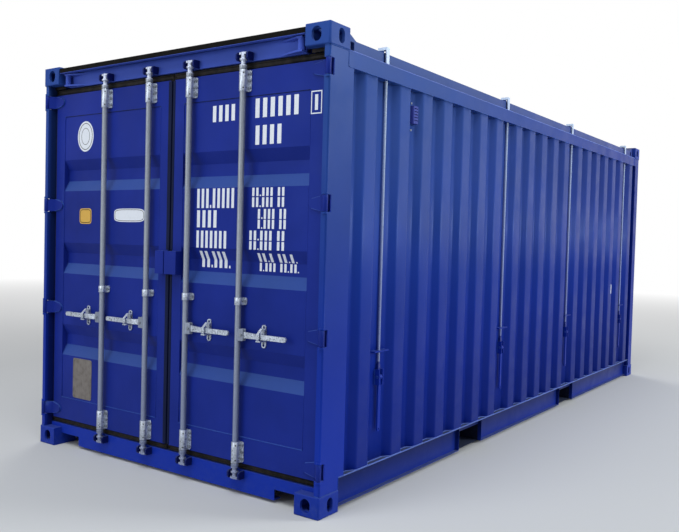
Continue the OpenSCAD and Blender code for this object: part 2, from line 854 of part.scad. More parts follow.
module front_top_rail() {
    x1 = front_rail_x;
    x0 = x1 - front_rail_d;
    color(blue) {
        difference() {
            block([x0, ys + casting_w, header_z0], [x1, -ys - casting_w, strip_z0]);
            block([x0 + header_t, ys, header_z0 + header_t], [x1 - header_t, -ys, strip_z0 - header_t]);
        }
        both_sides() block([x0, post_back_y, header_z0], [x1, ys + casting_w + weld, top_z]);
    }
}

// Two prongs that stand either side of a cam and are open to the front
module keeper(y, z0) {
    x0 = xe + keeper_in;
    z1 = z0 + keeper_h;
    for (s = [-1, 1]) translate([0, y + s * (cam_r + keeper_gap + keeper_t / 2), 0])
        along(-keeper_t / 2, keeper_t / 2) polygon([
            [header_x, z0], [x0 + keeper_nose, z0], [x0, z0 + keeper_nose],
            [x0, z1 - keeper_nose], [x0 + keeper_nose, z1], [header_x, z1]]);
}

module cam_keepers() {
    color(blue) both_sides() for (y = rod_ys) {
        keeper(y, cam_foot_z);
        keeper(y, cam_top_z);
    }
}

module door_sill() {
    y0 = ys + casting_w;
    x1 = header_x + sill_top_w;
    color(blue) {
        difference() {
            union() {
                block([header_x, y0, rail_z0], [header_x + sill_t, -y0, sill_z]);
                block([header_x, y0, rail_z0], [header_x + sill_lip_w, -y0, rail_z0 + sill_t]);
            }
            both_sides() block([xe, ys, 0], [x1, y0 + sill_notch_w, rail_z0 + sill_notch_h]);
        }
        block([header_x, y0, sill_z - sill_t], [x1, -y0, sill_z]);
        both_sides() block([header_x, post_back_y, casting_h], [x1, y0 + weld, sill_z]);
    }
}

module door_header() {
    y0 = header_y;
    color(blue) {
        difference() {
            block([header_x, y0, header_z0], [header_x + header_d, -y0, header_z1]);
            block([header_x + header_t, ys, header_z0 + header_t],
                [header_x + header_d - header_t, -ys, header_z1 - header_t]);
        }
        both_sides() header_lugs();
    }
}

// Hinge on which the header swings out: tapered lugs with a tube in front of its face,
// and tongues with a pin between its end and the casting
module header_lugs() {
    y1 = ys + casting_w;
    low = header_z0 + header_lug_rise;
    high = strip_z0 - header_lug_gap - header_lug_t;
    for (z = [low, high]) translate([0, 0, z]) linear_extrude(header_lug_t) polygon([
        [header_x - header_lug_out, header_y], [header_x + weld, header_y],
        [header_x + weld, header_y + header_lug_l], [header_x, header_y + header_lug_l],
        [header_x - header_lug_out, header_y + 2 * header_tube_r]]);
    translate([header_x - header_lug_out + header_tube_r, header_y + header_tube_r, low])
        cylinder(r = header_tube_r, h = high - low + header_lug_t);
    for (z = [top_z + header_lug_t, high - header_lug_t])
        block([header_x, y1, z], [header_x + header_d / 2, header_y + header_tongue, z + header_lug_t]);
    translate([header_x + header_d / 4, (y1 + header_y) / 2, top_z + header_lug_t])
        cylinder(r = header_pin_r, h = high - top_z - header_lug_t);
}

// Channel section cross member centred on x
module cross_member(x) {
    z0 = sill_z - cross_h;
    difference() {
        block([x - cross_w / 2, web_y, z0], [x + cross_w / 2, -web_y, sill_z]);
        block([x - cross_w / 2 + cross_t, ys, z0 + cross_t], [x + cross_w / 2 + over, -ys, sill_z - cross_t]);
    }
}

function spread(a, b, n) = [for (i = [1:n]) a + (b - a) * i / (n + 1)];

module crossmembers() {
    half = pocket_w / 2 + bottom_rail_t;
    color(blue) for (x = concat(
        spread(header_x + sill_top_w, pocket_xs[0] - half, cross_a),
        spread(pocket_xs[0] + half, pocket_xs[1] - half, cross_b),
        spread(pocket_xs[1] + half, -xe - front_set - front_depth, cross_c))) cross_member(x);
}

// Tunnels across the container, with a strap under each mouth
module fork_pockets() {
    t = pocket_t;
    color(blue) for (x = pocket_xs) {
        for (s = [-1, 1]) translate([x + s * (pocket_w + t) / 2, 0, 0])
            block([-t / 2, web_y, sill_z - cross_h], [t / 2, -web_y, sill_z]);
        block([x - pocket_w / 2 - t, web_y, sill_z - t], [x + pocket_w / 2 + t, -web_y, sill_z]);
        both_sides() block([x - pocket_w / 2 - t, web_y, sill_z - cross_h - t],
            [x + pocket_w / 2 + t, web_y + pocket_strap, sill_z - cross_h + weld]);
    }
}

module floor_boards() {
    x0 = post_x + post_step + floor_end_gap;
    x1 = -xe - front_set - front_depth - sheet_t;
    color(timber) block([x0, web_y + floor_gap, sill_z], [x1, -web_y - floor_gap, sill_z + floor_t]);
}

// Hooded vent that sits in a recess of the wall, with louvre slots across its face
module wall_vent(x) {
    half = vent_w / 2;
    front_y = recess_y - vent_d;
    color(blue) translate([x, 0, wall_z1 - vent_drop - vent_h]) difference() {
        linear_extrude(vent_h) polygon([
            [-half, recess_y], [-half, front_y + vent_bevel], [vent_bevel - half, front_y],
            [half - vent_bevel, front_y], [half, front_y + vent_bevel], [half, recess_y]]);
        for (i = [1:vent_slots]) translate([0, 0, vent_h * i / (vent_slots + 1)])
            block([vent_margin - half, front_y - over, 0],
                [half - vent_margin, front_y + vent_slot_d, vent_slot]);
    }
}

module wall_vents() {
    off = wide_end - wide_pitch / 2 - fold_pitch / 2;
    wall_vent(wall_mid - off);
    mirror([0, 1, 0]) wall_vent(wall_mid + off);
}

// Blade and knuckle of one hinge: cranked in plan, tapered in elevation
module leaf_hinge(z) {
    edge = leaf_y0;
    tip = edge + blade_l;
    difference() {
        union() {
            intersection() {
                translate([0, 0, z - blade_root_h / 2]) linear_extrude(blade_root_h) polygon([
                    [pin_x, pin_y], [pin_x + knuckle_r, pin_y], [door_x, edge - blade_rear],
                    [door_x + weld, edge], [door_x + weld, tip],
                    [door_x - blade_t, tip], [door_x - blade_t, edge - blade_front],
                    [pin_x + blade_lead, pin_y + knuckle_r]]);
                across(xe, door_x + weld) translate([0, z]) union() {
                    polygon([
                        [ys, -blade_root_h / 2], [edge, -blade_root_h / 2],
                        [tip - blade_tip_h / 3, -blade_tip_h / 2], [tip - blade_tip_h / 3, blade_tip_h / 2],
                        [edge, blade_root_h / 2], [ys, blade_root_h / 2]]);
                    translate([tip - blade_tip_h / 2, 0]) circle(blade_tip_h / 2);
                }
            }
            translate([pin_x, pin_y, z - knuckle_h / 2]) cylinder(r = knuckle_r, h = knuckle_h);
        }
        translate([pin_x, pin_y, z - knuckle_h / 2 - over])
            cylinder(r = pin_r + pin_gap, h = knuckle_h + 2 * over);
    }
}

// Hollow member of the leaf's frame
module leaf_member(y0, y1, z0, z1) {
    t = door_frame_t;
    difference() {
        block([door_x, y0, z0], [door_x + door_t, y1, z1]);
        block([door_x + t, y0 + t, z0 + t], [door_x + door_t - t, y1 - t, z1 - t]);
    }
}

module leaf_panel() {
    centres = [for (i = [0:troughs - 1]) leaf_mid_z + (i - (troughs - 1) / 2) * trough_pitch];
    translate([0, leaf_y1 - stile_mid_w + weld, 0]) rotate([90, 0, 0])
        linear_extrude(leaf_y1 - stile_mid_w - leaf_y0 - stile_hinge_w + 2 * weld)
            rotate(-90) mirror([1, 0])
                folded_section(leaf_z0 + door_rail_h - weld, leaf_z1 - door_rail_h + weld, centres,
                    trough_h - 2 * trough_slope, trough_slope, panel_x, panel_x + trough_depth, -sheet_t);
}

// Half of the lock box: a hood open below, from reach to the middle
module lock_box(y0, y1) {
    difference() {
        block([xe + box_in, y0, box_z0], [door_x + weld, y1, box_z0 + box_h]);
        block([xe + box_in + box_t, y0 + box_t, box_z0 - over],
            [door_x - box_t, y1 - box_t, box_z0 + box_h - box_t]);
    }
}

module leaf() {
    leaf_member(leaf_y0, leaf_y0 + stile_hinge_w, leaf_z0, leaf_z1);
    leaf_member(leaf_y1 - stile_mid_w, leaf_y1, leaf_z0, leaf_z1);
    for (z = [leaf_z0, leaf_z1 - door_rail_h])
        leaf_member(leaf_y0 + stile_hinge_w - weld, leaf_y1 - stile_mid_w + weld, z, z + door_rail_h);
    leaf_panel();
    for (z = hinge_zs) leaf_hinge(z);
}

module door_leaf_right() {
    color(blue) {
        leaf();
        lock_box(-box_right, -box_half_gap);
    }
}

module door_leaf_left() {
    color(blue) mirror([0, 1, 0]) {
        leaf();
        lock_box(-box_left, -box_half_gap);
    }
}

module door_gasket() {
    x0 = door_x + gasket_set;
    color(rubber) difference() {
        block([x0, post_inner_y + seal_gap, sill_z + seal_gap],
            [x0 + gasket_d, -seal_gap, header_z0 - seal_gap]);
        block([x0 - over, leaf_y0, leaf_z0], [x0 + gasket_d + over, leaf_y1, leaf_z1]);
    }
}

// Bearing of a lock rod: base plate on the leaf at x1, saddle and bored housing
module bearing(y, z0, h, x1) {
    difference() {
        union() {
            across(door_x - bearing_t, x1) translate([y, z0 + h / 2])
                rounded(bearing_w, h, bearing_corner);
            block([rod_x, y - bearing_r, z0], [x1, y + bearing_r, z0 + h]);
            translate([rod_x, y, z0]) cylinder(r = bearing_r, h = h);
        }
        translate([rod_x, y, z0 - over]) cylinder(r = rod_r + bearing_gap, h = h + 2 * over);
    }
}

// Rest for a handle: a round-ended plate, a cradle below the grip and a tongue behind it
module handle_rest(y) {
    y0 = y - rest_w / 2;
    y1 = y + rest_w / 2;
    cradle_z = handle_z - handle_h / 2 - rest_gap;
    tab_z = handle_z + rest_h / 2 - tab_drop;
    back = rod_x + handle_t / 2 + rest_gap;
    across(door_x - bearing_t, panel_x) translate([y, handle_z]) difference() {
        stadium(rest_w, rest_h);
        for (s = [-1, 1]) translate([0, s * (rest_h - rest_w) / 2]) circle(rest_hole_r);
    }
    block([xe + rest_in, y0, cradle_z - rest_t], [door_x, y1, cradle_z]);
    block([back, y0, tab_z - tab_t], [door_x, y1, tab_z]);
    block([back, y0, handle_z], [back + tongue_t, y1, tab_z]);
}

module door_gear() {
    color(galvanised) for (y = rod_ys) {
        bearing(y, leaf_z0 + bearing_end, bearing_h, door_x);
        bearing(y, leaf_z1 - bearing_end - bearing_h, bearing_h, door_x);
        bearing(y, guide_z - guide_h / 2, guide_h, panel_x);
        handle_rest(y - rest_off);
    }
}

// Cam with a flange next to the rod and two horns at its far end
module cam() {
    cylinder(r = cam_core_r, h = cam_h);
    cylinder(r = cam_flange_r, h = cam_flange_h);
    translate([0, 0, cam_h - cam_crown]) linear_extrude(cam_crown) intersection() {
        circle(cam_r);
        square([cam_horn, 2 * cam_r], center = true);
    }
}

// Ear of a handle's pivot, in the plane across the rod
module ear_outline() {
    offset_y = ear_l - ear_r;
    translate([-offset_y, -ear_h / 2]) square([offset_y, ear_h]);
    translate([-ear_l, ear_r - ear_h / 2]) square([ear_r, ear_h - 2 * ear_r]);
    for (s = [-1, 1]) translate([-offset_y, s * (ear_h / 2 - ear_r)]) circle(ear_r);
}

module lock_rod(y, s) {
    ear = ear_gap + handle_t / 2;
    foot = leaf_z0 + bearing_end - collar_gap - collar_h;
    head = leaf_z1 - bearing_end + collar_gap;
    color(galvanised) translate([rod_x, s * y, 0]) {
        translate([0, 0, cam_foot_z + cam_crown]) cylinder(r = cam_core_r, h = cam_top_z - cam_foot_z);
        translate([0, 0, foot]) cylinder(r = rod_r, h = head + collar_h - foot);
        translate([0, 0, cam_top_z]) cam();
        translate([0, 0, cam_foot_z + cam_h]) mirror([0, 0, 1]) cam();
        for (z = [foot, head]) translate([0, 0, z]) cylinder(r = collar_r, h = collar_h);
        // Ears that carry the handle's pivot, towards the hinges
        mirror([0, s > 0 ? 1 : 0, 0]) {
            for (d = [-1, 1]) translate([d * (ear + ear_t / 2), 0, handle_z])
                across(-ear_t / 2, ear_t / 2) ear_outline();
            translate([-ear - ear_t / 2, -handle_pivot, handle_z]) rotate([0, 90, 0])
                cylinder(r = handle_pin_r, h = 2 * ear + ear_t);
        }
    }
}

// Handle with a round tongue in the ears, a crank and a tapered, rounded grip
module handle(y, s) {
    t = handle_t / 2;
    c = handle_crank;
    lag = handle_t / 4;
    color(galvanised) translate([rod_x, s * y, 0]) mirror([0, s > 0 ? 1 : 0, 0]) difference() {
        intersection() {
            translate([0, 0, handle_z - handle_root_h / 2]) linear_extrude(handle_root_h) polygon([
                [-t, 0], [-t, -crank_start], [-t - c, -crank_start - crank_l], [-t - c, -handle_l],
                [t - c, -handle_l], [t - c, -crank_start - crank_l - lag], [t, -crank_start - lag], [t, 0]]);
            across(-t - c, t) translate([0, handle_z]) {
                translate([-handle_pivot, 0]) circle(handle_h / 2);
                polygon([
                    [-handle_pivot, handle_h / 2], [-ear_l, handle_root_h / 2],
                    [-handle_taper, handle_h / 2], [handle_h / 2 - handle_l, handle_h / 2],
                    [handle_h / 2 - handle_l, -handle_h / 2], [-handle_taper, -handle_h / 2],
                    [-ear_l, -handle_root_h / 2], [-handle_pivot, -handle_h / 2]]);
                translate([-handle_l + handle_h / 2, 0]) circle(handle_h / 2);
            }
        }
        translate([-t - c - over, -handle_pivot, handle_z]) rotate([0, 90, 0])
            cylinder(r = handle_pin_r + pin_gap, h = handle_t + c + 2 * over);
    }
}

// Roof frame: side members slotted for the hooks, cross beams and the thin ends over the rails
module roof_side() {
    slot = hook_w / 2 + hook_gap;
    slot_y = tie_y + hook_l + hook_gap;
    stops = concat([roof_x0], tie_xs, [-roof_x0]);
    t = roof_t;
    end = notch_in + notch_l + t;
    difference() {
        block([roof_x0, roof_y0, roof_z0], [-roof_x0, roof_y1, roof_side_z1]);
        for (i = [0:len(stops) - 2])
            block([stops[i] + (i == 0 ? end : slot + t), roof_y0 + t, roof_z0 + t],
                [stops[i + 1] - (i == len(stops) - 2 ? end : slot + t), roof_y1 - t, roof_side_z1 - t]);
        for (x = tie_xs) block([x - slot, ys, roof_z0 - over], [x + slot, slot_y, roof_side_z1 + over]);
        both_ends() block([roof_x0 + notch_in, ys, roof_z0 - over],
            [roof_x0 + notch_in + notch_l, roof_y0 + notch_d, roof_z0 + notch_h]);
    }
    for (x = tie_xs, s = [-1, 1]) translate([x + s * (slot + hook_lug_t / 2), 0, 0])
        block([-hook_lug_t / 2, roof_y0, roof_side_z1 - weld],
            [hook_lug_t / 2, slot_y - hook_lug_in, roof_side_z1 + hook_lug_h]);
}

// Bevelled block at each end of a roof side member, beside the casting
module roof_block() {
    z0 = roof_side_z1 - weld;
    z1 = roof_side_z1 + roof_block_h;
    x1 = roof_x0 + roof_block_l;
    along(roof_y0, roof_y1 - panel_lap - roof_t) polygon([
        [roof_x0, z0], [roof_x0, z1], [x1, z1], [x1 + roof_block_slope, z0]]);
}

// Section of the roof's end across the container, level at the ends and raised at the middle
module roof_end_outline(z0, z1) {
    polygon([
        [roof_end_y, z0], [-roof_end_y, z0], [-roof_end_y, z1], [0, z1 + roof_camber], [roof_end_y, z1]]);
}

module roof_frame() {
    color(blue) {
        both_sides() roof_side();
        both_sides() both_ends() roof_block();
        both_ends() {
            block([roof_x0, roof_y1 - roof_t, roof_z0],
                [roof_x0 + roof_beam_w, roof_t - roof_y1, roof_side_z1]);
            across(xe + strip_in + strip_t, roof_x0 + roof_t) roof_end_outline(roof_end_z0, roof_end_z1);
            across(roof_x0, roof_x0 + roof_t) roof_end_outline(roof_side_z1 - weld, roof_end_z1);
        }
    }
}

module roof_panel() {
    centres = [for (i = [0:roof_folds - 1]) (i - (roof_folds - 1) / 2) * roof_pitch];
    z = roof_side_z1 + sheet_t;
    y1 = roof_y1 - panel_lap;
    color(blue) along(y1, -y1)
        folded_section(panel_x0, -panel_x0, centres, roof_flat, roof_slope, z, z + roof_fold, sheet_t);
}

// Black strips at the roof's ends and the seal on the side rails
module roof_seals() {
    color(rubber) {
        both_ends() across(xe + strip_in, xe + strip_in + strip_t) roof_end_outline(strip_z0, strip_z1);
        both_sides() difference() {
            block([roof_x0 + roof_seal_in, roof_y0 + roof_seal_in, rail_top_z],
                [-roof_x0 - roof_seal_in, face_y + top_rail_w, roof_z0]);
            for (x = tie_xs) block([x - hook_w, ys, 0], [x + hook_w, 0, height]);
        }
    }
}

// Tie rod with the flat shank of its hook over the roof's edge and its lower clevis
module tie_rod(x) {
    z0 = lever_z + clevis_rise;
    color(galvanised) translate([x, tie_y, 0]) {
        translate([0, 0, z0 + clevis_h / 2]) cylinder(r = tie_r, h = hook_z1 - z0 - clevis_h / 2);
        block([-hook_w / 2, -hook_heel, hook_z1 - hook_h], [hook_w / 2, hook_l, hook_z1]);
        block([-hook_w / 2, -hook_heel, rail_top_z + shank_gap], [hook_w / 2, shank_t - hook_heel, hook_z1]);
        block([-clevis_w / 2, -tie_r, z0], [clevis_w / 2, tie_r, z0 + clevis_h]);
    }
}

// Lever hanging from its hub, with a hole near its end
module tie_lever(x) {
    color(blue) translate([x, lever_y, lever_z]) difference() {
        union() {
            rotate([0, 90, 0]) translate([0, 0, -lever_w / 2]) cylinder(r = lever_hub_r, h = lever_w);
            block([-lever_w / 2, -lever_t / 2, lever_w / 2 - lever_l], [lever_w / 2, lever_t / 2, 0]);
            translate([0, lever_t / 2, lever_w / 2 - lever_l]) rotate([90, 0, 0])
                cylinder(r = lever_w / 2, h = lever_t);
        }
        rotate([0, 90, 0]) translate([0, 0, -lever_w])
            cylinder(r = lever_pin_r + lever_pin_gap, h = 2 * lever_w);
        translate([0, lever_t, lever_w / 2 - lever_l]) rotate([90, 0, 0])
            cylinder(r = lever_hole_r, h = 2 * lever_t);
    }
}

// Cheeks, pivot pin and rod guide welded in a wide recess
module tie_bracket(x) {
    half = lever_w / 2 + cheek_gap;
    translate([x, 0, 0]) {
        for (s = [-1, 1]) translate([s * (half + cheek_t / 2), 0, 0])
            block([-cheek_t / 2, face_y + cheek_in, lever_z - cheek_h / 2],
                [cheek_t / 2, recess_y, lever_z + cheek_h / 2]);
        translate([-half - cheek_t / 2, lever_y, lever_z]) rotate([0, 90, 0])
            cylinder(r = lever_pin_r, h = 2 * half + cheek_t);
        difference() {
            block([-guide_half, face_y + cheek_in, lever_z + guide_rise],
                [guide_half, recess_y, lever_z + guide_rise + tie_guide_t]);
            translate([0, tie_y, 0]) cylinder(r = tie_r + tie_guide_gap, h = height);
        }
    }
}

module tie_brackets() {
    color(blue) both_sides() for (x = tie_xs) tie_bracket(x);
}

module tie_rods_left() {
    mirror([0, 1, 0]) for (x = tie_xs) tie_rod(x);
}

module tie_levers_left() {
    mirror([0, 1, 0]) for (x = tie_xs) tie_lever(x);
}

bottom_castings();
top_castings();
door_post();  // door_post_right
mirror([0, 1, 0]) door_post();  // door_post_left
front_posts();
bottom_side_rail();  // bottom_side_rail_right
mirror([0, 1, 0]) bottom_side_rail();  // bottom_side_rail_left
top_side_rail();  // top_side_rail_right
mirror([0, 1, 0]) top_side_rail();  // top_side_rail_left
side_wall();  // side_wall_right
mirror([0, 1, 0]) side_wall();  // side_wall_left
front_wall();
front_sill();
front_top_rail();
door_sill();
door_header();
cam_keepers();
crossmembers();
fork_pockets();
floor_boards();
wall_vents();
tie_brackets();
tie_rods_left();
tie_levers_left();
door_leaf_right();
door_leaf_left();
door_gasket();  // door_gasket_right
mirror([0, 1, 0]) door_gasket();  // door_gasket_left
door_gear();  // door_gear_right
mirror([0, 1, 0]) door_gear();  // door_gear_left
lock_rod(rod_y_outer, 1);  // lock_rod_1
lock_rod(rod_y_inner, 1);  // lock_rod_2
lock_rod(rod_y_inner, -1);  // lock_rod_3
lock_rod(rod_y_outer, -1);  // lock_rod_4
handle(rod_y_outer, 1);  // handle_1
handle(rod_y_inner, 1);  // handle_2
handle(rod_y_inner, -1);  // handle_3
handle(rod_y_outer, -1);  // handle_4
roof_frame();
roof_panel();
roof_seals();
tie_rod(tie_xs[0]);  // tie_rod_1
tie_rod(tie_xs[1]);  // tie_rod_2
tie_rod(tie_xs[2]);  // tie_rod_3
tie_rod(tie_xs[3]);  // tie_rod_4
tie_lever(tie_xs[0]);  // tie_lever_1
tie_lever(tie_xs[1]);  // tie_lever_2
tie_lever(tie_xs[2]);  // tie_lever_3
tie_lever(tie_xs[3]);  // tie_lever_4
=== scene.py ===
import json
import math
import random

import bpy
from mathutils import Matrix, Vector


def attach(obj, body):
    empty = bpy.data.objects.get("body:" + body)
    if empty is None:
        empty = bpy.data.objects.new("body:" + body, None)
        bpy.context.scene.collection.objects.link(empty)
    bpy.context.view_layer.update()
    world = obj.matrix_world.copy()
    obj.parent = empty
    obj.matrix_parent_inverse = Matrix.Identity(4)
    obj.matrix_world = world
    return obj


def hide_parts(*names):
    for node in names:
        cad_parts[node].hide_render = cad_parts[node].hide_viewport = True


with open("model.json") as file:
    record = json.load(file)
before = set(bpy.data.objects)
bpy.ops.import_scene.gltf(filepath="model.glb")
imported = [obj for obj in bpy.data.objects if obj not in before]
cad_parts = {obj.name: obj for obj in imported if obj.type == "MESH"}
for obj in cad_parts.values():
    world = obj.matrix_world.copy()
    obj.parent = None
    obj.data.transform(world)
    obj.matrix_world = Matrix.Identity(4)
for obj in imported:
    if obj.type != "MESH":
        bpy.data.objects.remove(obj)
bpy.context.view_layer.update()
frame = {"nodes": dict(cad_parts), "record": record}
rng = random.Random(11)

# Sizes in metres, as in the part's source
XE, TOP = -3.029, 2.591
CASTING_L, CASTING_H = 0.178, 0.118
CAST_X = XE + CASTING_L
FACE_Y, RECESS_Y = -1.215, -1.179
WALL_X0, WALL_X1, WALL_Z0, WALL_Z1 = -2.801, 2.891, 0.187, 2.387
RAIL_TOP, SHEET = 2.476, 0.002
SILL_Z, HEADER_Z0 = 0.142, 2.455
DOOR_X, PANEL_X = -2.969, -2.967
LEAF_Z0, LEAF_Z1 = 0.181, 2.410
ROD_X, RODS = -3.000, (0.600, 0.177, -0.177, -0.600)
TIES = (-2.435, -0.690, 0.780, 2.525)
HINGES = [0.245 + 0.706 * i for i in range(4)]
TROUGHS = [(LEAF_Z0 + LEAF_Z1) / 2 + 0.563 * i for i in (-1, 0, 1)]
TROUGH_H, TROUGH_SLOPE, TROUGH_DEPTH = 0.212, 0.070, 0.036
TROUGH_BREAKS = [c + k * d for c in TROUGHS for k in (-1, 1)
                 for d in (TROUGH_H / 2, TROUGH_H / 2 - TROUGH_SLOPE)]
PANEL_Y, PANEL_Z = (0.100, 1.060), (0.331, 2.260)
BEARING_Z, GUIDE_Z, HANDLE_Z, REST_OFF = (0.246, 2.345), 1.107, 0.920, 0.172
PLATE_X = DOOR_X - 0.006

# Places of the fine details on them
PIVOT_OFF, PLATE_BOLT_Y, PLATE_BOLT_Z = 0.037, 0.0315, 0.040
BLADE_X, BLADE_EDGE_Y, BLADE_ROOT, BLADE_END = -2.9778, 1.150, 0.041, 0.025
BLADE_MID_Y, BLADE_TIP_Y = 1.092, 1.0837
LOCK_BOX_GAP = (1.228, 1.381)
GASKET_X, SEAL_X = -2.9545, -2.9695
TIE_FOOT_Z, TIE_FOOT_HALF, TIE_GUIDE_EDGES = 0.678, 0.046, (0.8255, 0.8335)
FITTING_Y = 1.1800
VENT_Z, VENT_SCREWS, VENT_HALF = 2.2390, (2.3100, 2.1480), (0.034, 0.058)


# ---------------------------------------------------------------- materials
class Finish:
    """A procedural material under construction."""

    def __init__(self, name, rough, metal=0.0):
        self.mat = bpy.data.materials.new(name)
        self.mat.use_nodes = True
        self.tree = self.mat.node_tree
        self.bsdf = self.tree.nodes["Principled BSDF"]
        self.bsdf.inputs["Metallic"].default_value = metal
        self.bsdf.inputs["Roughness"].default_value = rough
        self.coord = self.tree.nodes.new("ShaderNodeTexCoord").outputs["Object"]

    def node(self, kind, inputs=None, **props):
        n = self.tree.nodes.new(kind)
        for k, v in props.items():
            setattr(n, k, v)
        for k, v in (inputs or {}).items():
            if hasattr(v, "is_output"):
                self.tree.links.new(v, n.inputs[k])
            else:
                n.inputs[k].default_value = v
        return n

    def spot(self, stretch=(1, 1, 1)):
        return self.node("ShaderNodeMapping", {"Vector": self.coord, "Scale": stretch}).outputs[0]

    def noise(self, scale, detail=3.0, stretch=(1, 1, 1), rough=0.55):
        return self.node("ShaderNodeTexNoise", {
            "Vector": self.spot(stretch), "Scale": scale, "Detail": detail,
            "Roughness": rough}).outputs["Fac"]

    def cells(self, scale, stretch=(1, 1, 1), feature="F1"):
        return self.node("ShaderNodeTexVoronoi", {
            "Vector": self.spot(stretch), "Scale": scale}, feature=feature)

    def span(self, value, lo, hi, out_lo=0.0, out_hi=1.0):
        return self.node("ShaderNodeMapRange", {
            "Value": value, "From Min": lo, "From Max": hi, "To Min": out_lo, "To Max": out_hi}).outputs[0]

    def calc(self, op, a, b):
        return self.node("ShaderNodeMath", {0: a, 1: b}, operation=op).outputs[0]

    def mix(self, factor, a, b, blend="MIX"):
        n = self.node("ShaderNodeMix", data_type="RGBA", blend_type=blend)
        for socket, v in ((0, factor), (6, a), (7, b)):
            if hasattr(v, "is_output"):
                self.tree.links.new(v, n.inputs[socket])
            else:
                n.inputs[socket].default_value = v
        return n.outputs[2]

    def height(self, axis="Z"):
        return self.node("ShaderNodeSeparateXYZ", {"Vector": self.coord}).outputs[axis]

    def up(self):
        normal = self.tree.nodes.new("ShaderNodeNewGeometry").outputs["Normal"]
        return self.node("ShaderNodeSeparateXYZ", {"Vector": normal}).outputs["Z"]

    def bump(self, height, strength, distance, under=None):
        inputs = {"Height": height, "Strength": strength, "Distance": distance}
        if under is not None:
            inputs["Normal"] = under
        return self.node("ShaderNodeBump", inputs).outputs[0]

    def done(self, colour=None, rough=None, normal=None):
        for socket, v in (("Base Color", colour), ("Roughness", rough), ("Normal", normal)):
            if v is None:
                continue
            if hasattr(v, "is_output"):
                self.tree.links.new(v, self.bsdf.inputs[socket])
            else:
                self.bsdf.inputs[socket].default_value = v
        return self.mat


def rgb(r, g, b):
    return (r, g, b, 1.0)


# Linear colours of the blue paint, of its dust, and of the painted light, shade and sky reflection mixed into
# it
BLUE_RGB = (0.0056, 0.0225, 0.2200)
LOW_LIGHT_RGB, FAR_SHADE_RGB = (0.0075, 0.0300, 0.3600), (0.0022, 0.0110, 0.1400)
SKY_SHEEN_RGB, TOP_LIGHT_RGB = (0.036, 0.104, 0.325), (0.046, 0.112, 0.330)
DUST_AND_SHEEN_RGB = (0.105, 0.135, 0.215)


